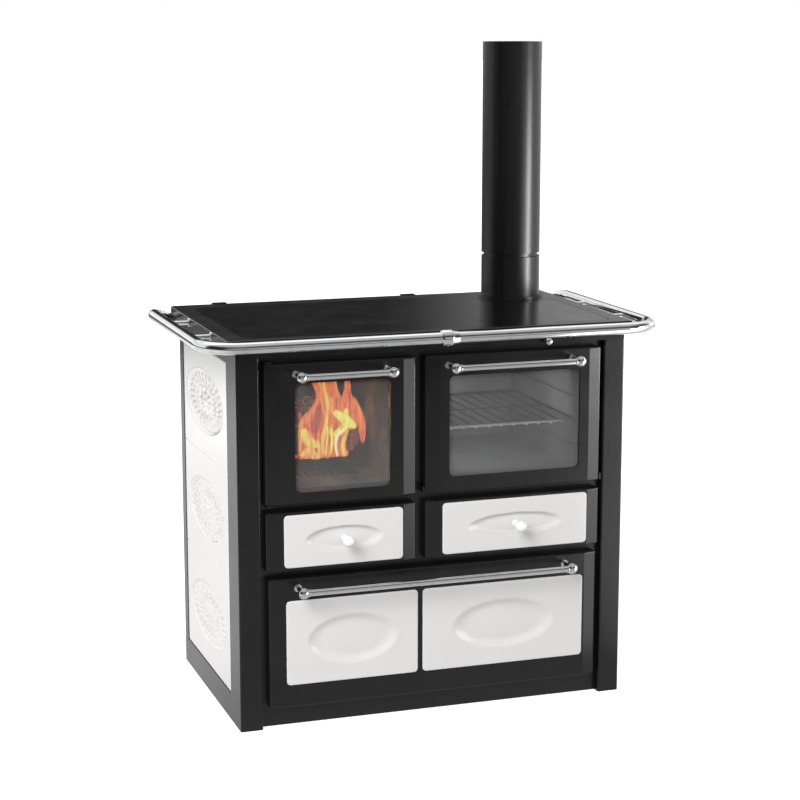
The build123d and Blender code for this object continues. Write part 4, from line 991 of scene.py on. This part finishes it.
rearTongues = {"rows": ((196, 0.22), (236, 0.2), (276, 0.18)), "cover": 0.7, "from": -250, "to": -150,
               "apart": 22, "shift": 6, "heights": (58, 96), "halfWidth": 15.0, "sway": 9, "foot": 566,
               "shape": ((0.0, 0.0, 1.0), (1.0, 0.35, 1.0), (-1.0, 0.7, 0.6), (0.5, 1.0, 0.15))}
# in mm; a tongue wider than wideFrom spreads level and has harder rims
flameSheet = {"across": 15, "along": 48, "wideFrom": 18, "wideEdge": 0.12, "edge": 0.5, "bow": 3.5,
              "wideLick": 3.0, "lick": 0.6, "lickDepth": 2.5, "lickHeat": 0.05, "rimHeat": 0.1,
              "lickPitch": 0.045, "lickSeeds": (3.1, 0.7), "tipFade": 14, "footFade": 12,
              "footCover": 0.15, "leastHalf": 0.3}


def smoothLine(points, count):
    # a rounded line through the points
    points = np.array(points, float)
    ends = np.vstack([2 * points[0] - points[1], points, 2 * points[-1] - points[-2]])
    line = []
    for place in np.linspace(0, len(points) - 1.0001, count):
        i, t = int(place), place % 1
        p0, p1, p2, p3 = ends[i:i + 4]
        line.append(0.5 * (2 * p1 + (p2 - p0) * t + (2 * p0 - 5 * p1 + 4 * p2 - p3) * t * t
                           + (3 * p1 - p0 - 3 * p2 + p3) * t ** 3))
    return np.array(line)


def addRearTongues(tongues):
    chance = np.random.default_rng(8)
    look = rearTongues
    for y, heat in look["rows"]:
        for foot in range(look["from"], look["to"], look["apart"]):
            x = foot + chance.uniform(-look["shift"], look["shift"])
            tall = chance.uniform(*look["heights"])
            sway = chance.uniform(-look["sway"], look["sway"])
            tongues[f"rear{y}{foot}"] = (y, heat, look["cover"], [
                (x + bend * sway, look["foot"] + rise * tall, width * look["halfWidth"])
                for bend, rise, width in look["shape"]])


def makeFlames():
    # each tongue is a bowed ribbon, which fades at its rims and ends
    tongues = dict(flameTongues)
    addRearTongues(tongues)
    look = flameSheet
    blank = Blank()
    heats, covers = [], []
    for number, (y, heat, cover, points) in enumerate(tongues.values()):
        line = smoothLine(points, look["along"])
        seed = [number * step for step in look["lickSeeds"]]
        run = np.gradient(line[:, :2], axis=0)
        run /= np.maximum(np.linalg.norm(run, axis=1), 1e-6)[:, None]
        wide = line[:, 2].max() > look["wideFrom"]
        edge, swing = (look["wideEdge"], look["wideLick"]) if wide else (look["edge"], look["lick"])
        sheet = []
        for t, (x, z, half), (runX, runZ) in zip(np.linspace(0, 1, len(line)), line, run):
            sideX, sideZ = (1.0, 0.0) if wide else (abs(runZ) + 1e-3, -runX * math.copysign(1, runZ))
            tip = min(1.0, look["tipFade"] * (1 - t))
            foot = 1.0 if wide else min(1.0, look["footFade"] * t + look["footCover"])
            row = []
            for s in np.linspace(-1, 1, look["across"]):
                lick = noise.noise(Vector((s + seed[0], z * look["lickPitch"], seed[1])))
                reach = max(half, look["leastHalf"]) * s + swing * lick
                depth = y + look["bow"] * s * s + look["lickDepth"] * lick
                row.append(at(x + reach * sideX, depth, z + reach * sideZ))
                rim = min(1.0, (1 - abs(s)) / edge)
                covers.append(cover * rim * rim * (3 - 2 * rim) * tip * foot)
                heats.append(heat * (1 - look["rimHeat"] * (1 - rim)) + look["lickHeat"] * lick)
            sheet.append(row)
        blank.sheet(sheet)
    piece = makePiece("flames", blank, "flame", "stove", sharp=180)
    addValues(piece, fireHeat=heats, fireCover=covers)


makeFlames()
print("fire lit")


# a pan head with a cross recess: sizes in mm, and each ring of the head as a share of its radius
screwShape = {"radius": 3.6, "height": 1.6, "around": 28, "dome": 0.35, "rim": 0.6, "crossDepth": 0.6,
              "crossReach": 0.62, "crossHalf": 0.13,
              "shares": (1.0, 1.0, 0.93, 0.8, 0.64, 0.5, 0.4, 0.3, 0.2, 0.1, 0.02)}


def addScrew(blank, centre, axis, radius):
    look, around = screwShape, screwShape["around"]
    height = look["height"] / look["radius"] * radius / 1000
    radius = radius / 1000
    axis, side, other = squareTo(axis)
    rows = []
    for share in look["shares"]:
        lift = height * (1 - look["dome"] * share ** 2) * (look["rim"] if share == 1 else 1)
        if not rows:
            lift = 0
        ring = []
        for angle in circle(around):
            u, v = share * math.cos(angle), share * math.sin(angle)
            crossed = share < look["crossReach"] and min(abs(u), abs(v)) < look["crossHalf"]
            sunk = look["crossDepth"] * height if crossed else 0
            ring.append(centre + radius * (u * side + v * other) + (lift - sunk) * axis)
        rows.append(ring)
    start = blank.sheet(rows, roundAcross=True)
    last = start + (len(rows) - 1) * around
    blank.faces += [tuple(first + i for i in range(around)) for first in (last, start)]


def makeScrews(name, places, body, radius):
    blank = Blank()
    for place in places:
        addScrew(blank, np.array(place), (0, 1, 0), radius)
    makePiece(name, blank, "zincScrew", body, sharp=35)


# where the screws stand: on the rear panel in metres, and how far inside a clip's or plate's ends
fixings = {"rearY": 538, "rearColumns": (-0.42, -0.21, 0.0, 0.21, 0.42), "rearRows": (0.034, 0.83),
           "rearEdges": (-0.42, 0.42), "edgeRows": (0.2, 0.36, 0.52, 0.68),
           "clipInset": (0.0055, 0.015), "clipRadius": 3.4, "latchY": 9, "latchInset": 0.0045,
           "latchRadius": 2.8}


def makeFixings():
    rearY = at(0, fixings["rearY"], 0)[1]
    places = [(x, rearY, z) for x in fixings["rearColumns"] for z in fixings["rearRows"]]
    places += [(x, rearY, z) for z in fixings["edgeRows"] for x in fixings["rearEdges"]]
    makeScrews("rearScrews", places, "stove", screwShape["radius"])
    insetX, insetZ = fixings["clipInset"]
    for door, body in (("firebox", "firebox_door"), ("oven", "oven_door")):
        low, high = boxOf(door + "_glass_clips")
        places = [(x, high[1], z) for x in (low[0] + insetX, high[0] - insetX)
                  for z in (low[2] + insetZ, high[2] - insetZ)]
        makeScrews(door + "ClipScrews", places, body, fixings["clipRadius"])
    low, high = boxOf("firebox_latch")
    midX, latchY, inset = (low[0] + high[0]) / 2, at(0, fixings["latchY"], 0)[1], fixings["latchInset"]
    places = [(midX, latchY, z) for z in (low[2] + inset, high[2] - inset)]
    makeScrews("latchScrews", places, "firebox_door", fixings["latchRadius"])


makeFixings()

# in mm; from and to are measured from the middle of the ball
handleRing = {"from": 9.4, "to": 13.2, "radius": 8.7, "bore": 7.05, "edge": 0.8, "soft": 0.24,
              "ballReach": 7.3, "around": 40}


def makeHandleRings():
    # a turned neck where each bar enters its ball
    r, e, soft, bore = (handleRing[key] for key in ("radius", "edge", "soft", "bore"))
    length = handleRing["to"] - handleRing["from"]
    profile = [(bore, 0), (r - e, 0), (r - soft, soft), (r, e), (r, length - e),
               (r - soft, length - soft), (r - e, length), (bore, length)]
    start = handleRing["from"] - handleRing["ballReach"]
    for bar, body in (("firebox_handle", "firebox_door"), ("oven_handle", "oven_door"),
                      ("wood_drawer_handle", "wood_drawer")):
        low, high = boxOf(bar + "_bar", 1000)
        y, z = (low[1] + high[1]) / 2, (low[2] + high[2]) / 2
        blank = Blank()
        for end, inward in ((low[0], 1), (high[0], -1)):
            centre = np.array((end + inward * start, y, z)) / 1000
            blank.turned([(a / 1000, h / 1000) for a, h in profile], centre, (inward, 0, 0),
                         handleRing["around"])
        makePiece(bar + "_rings", blank, "chrome", body, sharp=40)


makeHandleRings()

# in metres
hemShape = {"inset": 0.0008, "radius": 0.0014, "around": 12}


def makeHems():
    # the rolled upper rims of the drawer boxes
    inset, radius = hemShape["inset"], hemShape["radius"]
    for name in ("ash_drawer", "right_drawer", "wood_drawer"):
        low, high = boxOf(name + "_box")
        rows = []
        for signX, signY in ((-1, -1), (1, -1), (1, 1), (-1, 1)):
            x = low[0] + inset if signX < 0 else high[0] - inset
            y = low[1] + inset if signY < 0 else high[1] - inset
            rows.append([(x + radius / 2 * math.cos(angle) * signX,
                          y + radius / 2 * math.cos(angle) * signY,
                          high[2] - radius + radius * math.sin(angle))
                         for angle in circle(hemShape["around"])])
        blank = Blank()
        blank.sheet(rows, roundAcross=True, roundAlong=True)
        makePiece(name + "_hem", blank, "sheet_steel", name, sharp=60)


makeHems()

# in metres, and the half angle in radians
seamShape = {"end": 0.001, "rows": 160, "across": 9, "halfAngle": 0.035, "height": 0.0007,
             "ripple": 0.15, "ripples": 2600, "sunk": 0.0002}


def makePipeSeam():
    # the welded seam down the back of the pipe
    look = seamShape
    low, high = boxOf("flue_pipe")
    midX, midY = (low[0] + high[0]) / 2, (low[1] + high[1]) / 2
    radius = (high[0] - low[0]) / 2 - look["sunk"]
    rows = []
    for z in np.linspace(low[2] + look["end"], high[2] - look["end"], look["rows"]):
        beat = 1 - look["ripple"] + look["ripple"] * math.sin(z * look["ripples"])
        row = []
        for s in np.linspace(-1, 1, look["across"]):
            angle = math.pi / 2 + s * look["halfAngle"]
            r = radius + look["height"] * (1 - s * s) * beat
            row.append((midX + r * math.cos(angle), midY + r * math.sin(angle), z))
        rows.append(row)
    blank = Blank()
    blank.sheet(rows)
    makePiece("pipeSeam", blank, "black_pipe", "stove", sharp=60)


makePipeSeam()
print("fixings, rings, hems and seam made")


# the floor that the camera sees, and the even light of the sky from each side
studio = {"floorSize": 60.0, "floorTone": (0.86, 0.86, 0.86, 1), "floorGlow": 0.75,
          "floorZ": -0.0004, "mirroredZ": -0.0008, "skyBack": 0.9, "skyFront": 0.52, "skySide": 0.62}
# the floor that polished faces see: brightness, and in metres where each part sets in
mirrorGlow = {"least": 0.03, "front": 0.5, "side": 0.95, "far": 0.07, "right": 0.8, "flank": 2.2,
              "rearLeft": 0.6, "full": 2.0}
mirrorEdge = {"pool": (2.9, 5.0), "behind": (-0.6, 0.6), "left": (0.5, 1.3), "leftDepth": (-2.0, -0.4),
              "far": (1, 3), "right": (3.6, 4.6), "flankLean": 0.344, "flank": (0.38, 0.46),
              "flankNear": (0.45, 0.55), "flankFar": (-2.3, -2.15), "rearLeft": (0.9, 1.4),
              "rearNear": (2.2, 3.0), "rearFar": (4.6, 5.4)}
# the sky that polished faces see: brightness, and in parts of a direction where each part sets in
skyGlow = {"least": 0.03, "top": 0.6, "rearHigh": 1.0, "front": 0.42, "right": 1.0, "rearLeft": 1.1,
           "rearRight": 0.46, "rearFarRight": 0.35}
skyEdge = {"front": (-0.2, 0.8), "left": (0.1, 0.9), "level": (0.15, 0.5), "top": (0.5, 0.9),
           "rear": (0.0, 0.4), "rearHigh": (0.29, 0.42), "ahead": (0.6, 0.95), "right": (0.7, 0.95),
           "behind": (0.05, 0.3), "rearLeft": (-0.03, 0.1), "darkTurn": 19.0,
           "rearRight": (-0.014, 0.085), "rearFarRight": (0.08, 0.2)}


def paleFloor(shader, look):
    return {"Base Color": look["floorTone"], "Roughness": 0.9, "Specular IOR Level": 0.0,
            "Emission Color": (1, 1, 1, 1), "Emission Strength": look["floorGlow"]}


def reflectedFloor(shader, glow):
    # a lit pool round the stove, dimmer in front, with a bright strip for the doors' flanks
    x, y, z = shader.axes(shader.place())
    edge = mirrorEdge
    pool = 1 - ((x * x + y * y) ** 0.5).step(*edge["pool"])
    beside = y.step(*edge["behind"]).most((-1 * x).step(*edge["left"]) * y.step(*edge["leftDepth"]))
    flank = ((x + edge["flankLean"] * y).step(*edge["flank"]) * (-1 * y).step(*edge["flankNear"])
             * y.step(*edge["flankFar"]))
    rearLeft = ((-1 * x).step(*edge["rearLeft"]) * y.step(*edge["rearNear"])
                * (1 - y.step(*edge["rearFar"])))
    light = glow["least"] + (glow["front"] + (glow["side"] - glow["front"]) * beside) * pool
    light = light + glow["far"] * y.step(*edge["far"]) + glow["right"] * x.step(*edge["right"])
    light = light + glow["flank"] * flank + glow["rearLeft"] * rearLeft
    return {"Base Color": (0, 0, 0, 1), "Roughness": 1.0, "Specular IOR Level": 0.0,
            "Emission Color": shader.mix(light * (1 / glow["full"]), (0, 0, 0), (1, 1, 1)),
            "Emission Strength": glow["full"]}


def addPlane(name, z, paint, look, hideFrom):
    size = studio["floorSize"]
    mesh = bpy.data.meshes.new(name)
    mesh.from_pydata([(-size, -size, z), (size, -size, z), (size, size, z), (-size, size, z)],
                     [], [(0, 1, 2, 3)])
    plane = bpy.data.objects.new(name, mesh)
    bpy.context.scene.collection.objects.link(plane)
    mesh.materials.append(makeFinish(name, paint, look))
    for rays in hideFrom:
        setattr(plane, "visible_" + rays, False)


def makeFloor():
    addPlane("studioFloor", studio["floorZ"], paleFloor, studio, ("glossy", "diffuse"))
    addPlane("reflectedFloor", studio["mirroredZ"], reflectedFloor, mirrorGlow,
             ("camera", "diffuse", "shadow"))


def makeSky():
    # white to the camera, soft and even to matt faces, and with sharper parts to polished ones
    world = bpy.data.worlds.new("studioSky")
    world.use_nodes = True
    bpy.context.scene.world = world
    shader = Shader(world.node_tree)
    x, y, z = shader.axes(shader.add("ShaderNodeTexCoord", out="Generated"))
    glow, edge = skyGlow, skyEdge
    soft = studio["skyBack"] + (studio["skyFront"] - studio["skyBack"]) * (-1 * y).step(*edge["front"])
    soft = soft + (studio["skySide"] - studio["skyBack"]) * (-1 * x).step(*edge["left"])
    level = 1 - z.size().step(*edge["level"])
    turn = math.radians(edge["darkTurn"])
    pastEdge = math.cos(turn) * x - math.sin(turn) * y
    behind = y.step(*edge["behind"]) * level
    sharp = glow["least"] + glow["top"] * z.step(*edge["top"])
    sharp = sharp + glow["rearHigh"] * y.step(*edge["rear"]) * z.step(*edge["rearHigh"])
    sharp = sharp + glow["front"] * (-1 * y).step(*edge["ahead"]) * level
    sharp = sharp + glow["right"] * x.step(*edge["right"]) * level
    sharp = sharp + glow["rearLeft"] * behind * (-1 * x).step(*edge["rearLeft"])
    sharp = sharp + behind * (glow["rearRight"] * pastEdge.step(*edge["rearRight"])
                              + glow["rearFarRight"] * pastEdge.step(*edge["rearFarRight"]))
    seen = shader.add("ShaderNodeLightPath", out="Is Camera Ray")
    polished = shader.add("ShaderNodeLightPath", out="Is Glossy Ray")
    strength = seen + (1 - seen) * (soft + polished * (sharp - soft))
    sky = shader.add("ShaderNodeBackground", {}, {"Color": (1, 1, 1, 1), "Strength": strength})
    shader.add("ShaderNodeOutputWorld", {}, {"Surface": sky})


white = (1.0, 1.0, 1.0)
lights = {
    "rightFlankBox": {"place": (1.75, -1.85, 0.45), "aim": (0.1, -0.2, 0.45), "size": (0.95, 0.95),
                      "power": 6.6, "colour": white, "hideFrom": ("camera", "diffuse")},
    "pipeBox": {"place": (1.95, -1.1, 0.78), "aim": (0.35, 0.2, 0.9), "size": (0.5, 0.85),
                "power": 30.0, "colour": white, "hideFrom": ("camera", "diffuse")},
    "leftKeyBox": {"place": (-3.2, 0.4, 0.9), "aim": (-0.4, 0.0, 0.5), "size": (2.0, 1.6),
                   "power": 4, "colour": white, "hideFrom": ("camera", "glossy")},
    "frontKeyBox": {"place": (-3.7, -3.9, 3.8), "aim": (0.0, -0.2, 0.45), "size": (3.2, 3.2),
                    "power": 335, "colour": white, "hideFrom": ("camera", "glossy")},
    "fireGlow": {"place": at(-200, 180, 680), "softness": 0.05, "power": 0.35,
                 "colour": (1.0, 0.42, 0.12), "hideFrom": ()},
    "ovenFill": {"place": at(150, 60, 720), "aim": at(150, 1060, 620), "size": (0.26, 0.16),
                 "power": 0.95, "colour": white, "hideFrom": ("camera", "glossy")},
}


def makeLights():
    for name, light in lights.items():
        data = bpy.data.lights.new(name, "AREA" if "size" in light else "POINT")
        data.energy = light["power"]
        data.color = light["colour"]
        lamp = bpy.data.objects.new(name, data)
        lamp.location = light["place"]
        if "size" in light:
            data.shape = "RECTANGLE"
            data.size, data.size_y = light["size"]
            aim = Vector(light["aim"]) - Vector(light["place"])
            lamp.rotation_euler = aim.to_track_quat("-Z", "Y").to_euler()
        else:
            data.shadow_soft_size = light["softness"]
        for rays in light["hideFrom"]:
            setattr(lamp, "visible_" + rays, False)
        bpy.context.scene.collection.objects.link(lamp)


makeFloor()
makeSky()
makeLights()
bpy.context.scene.view_settings.view_transform = "Standard"
print("studio lit")
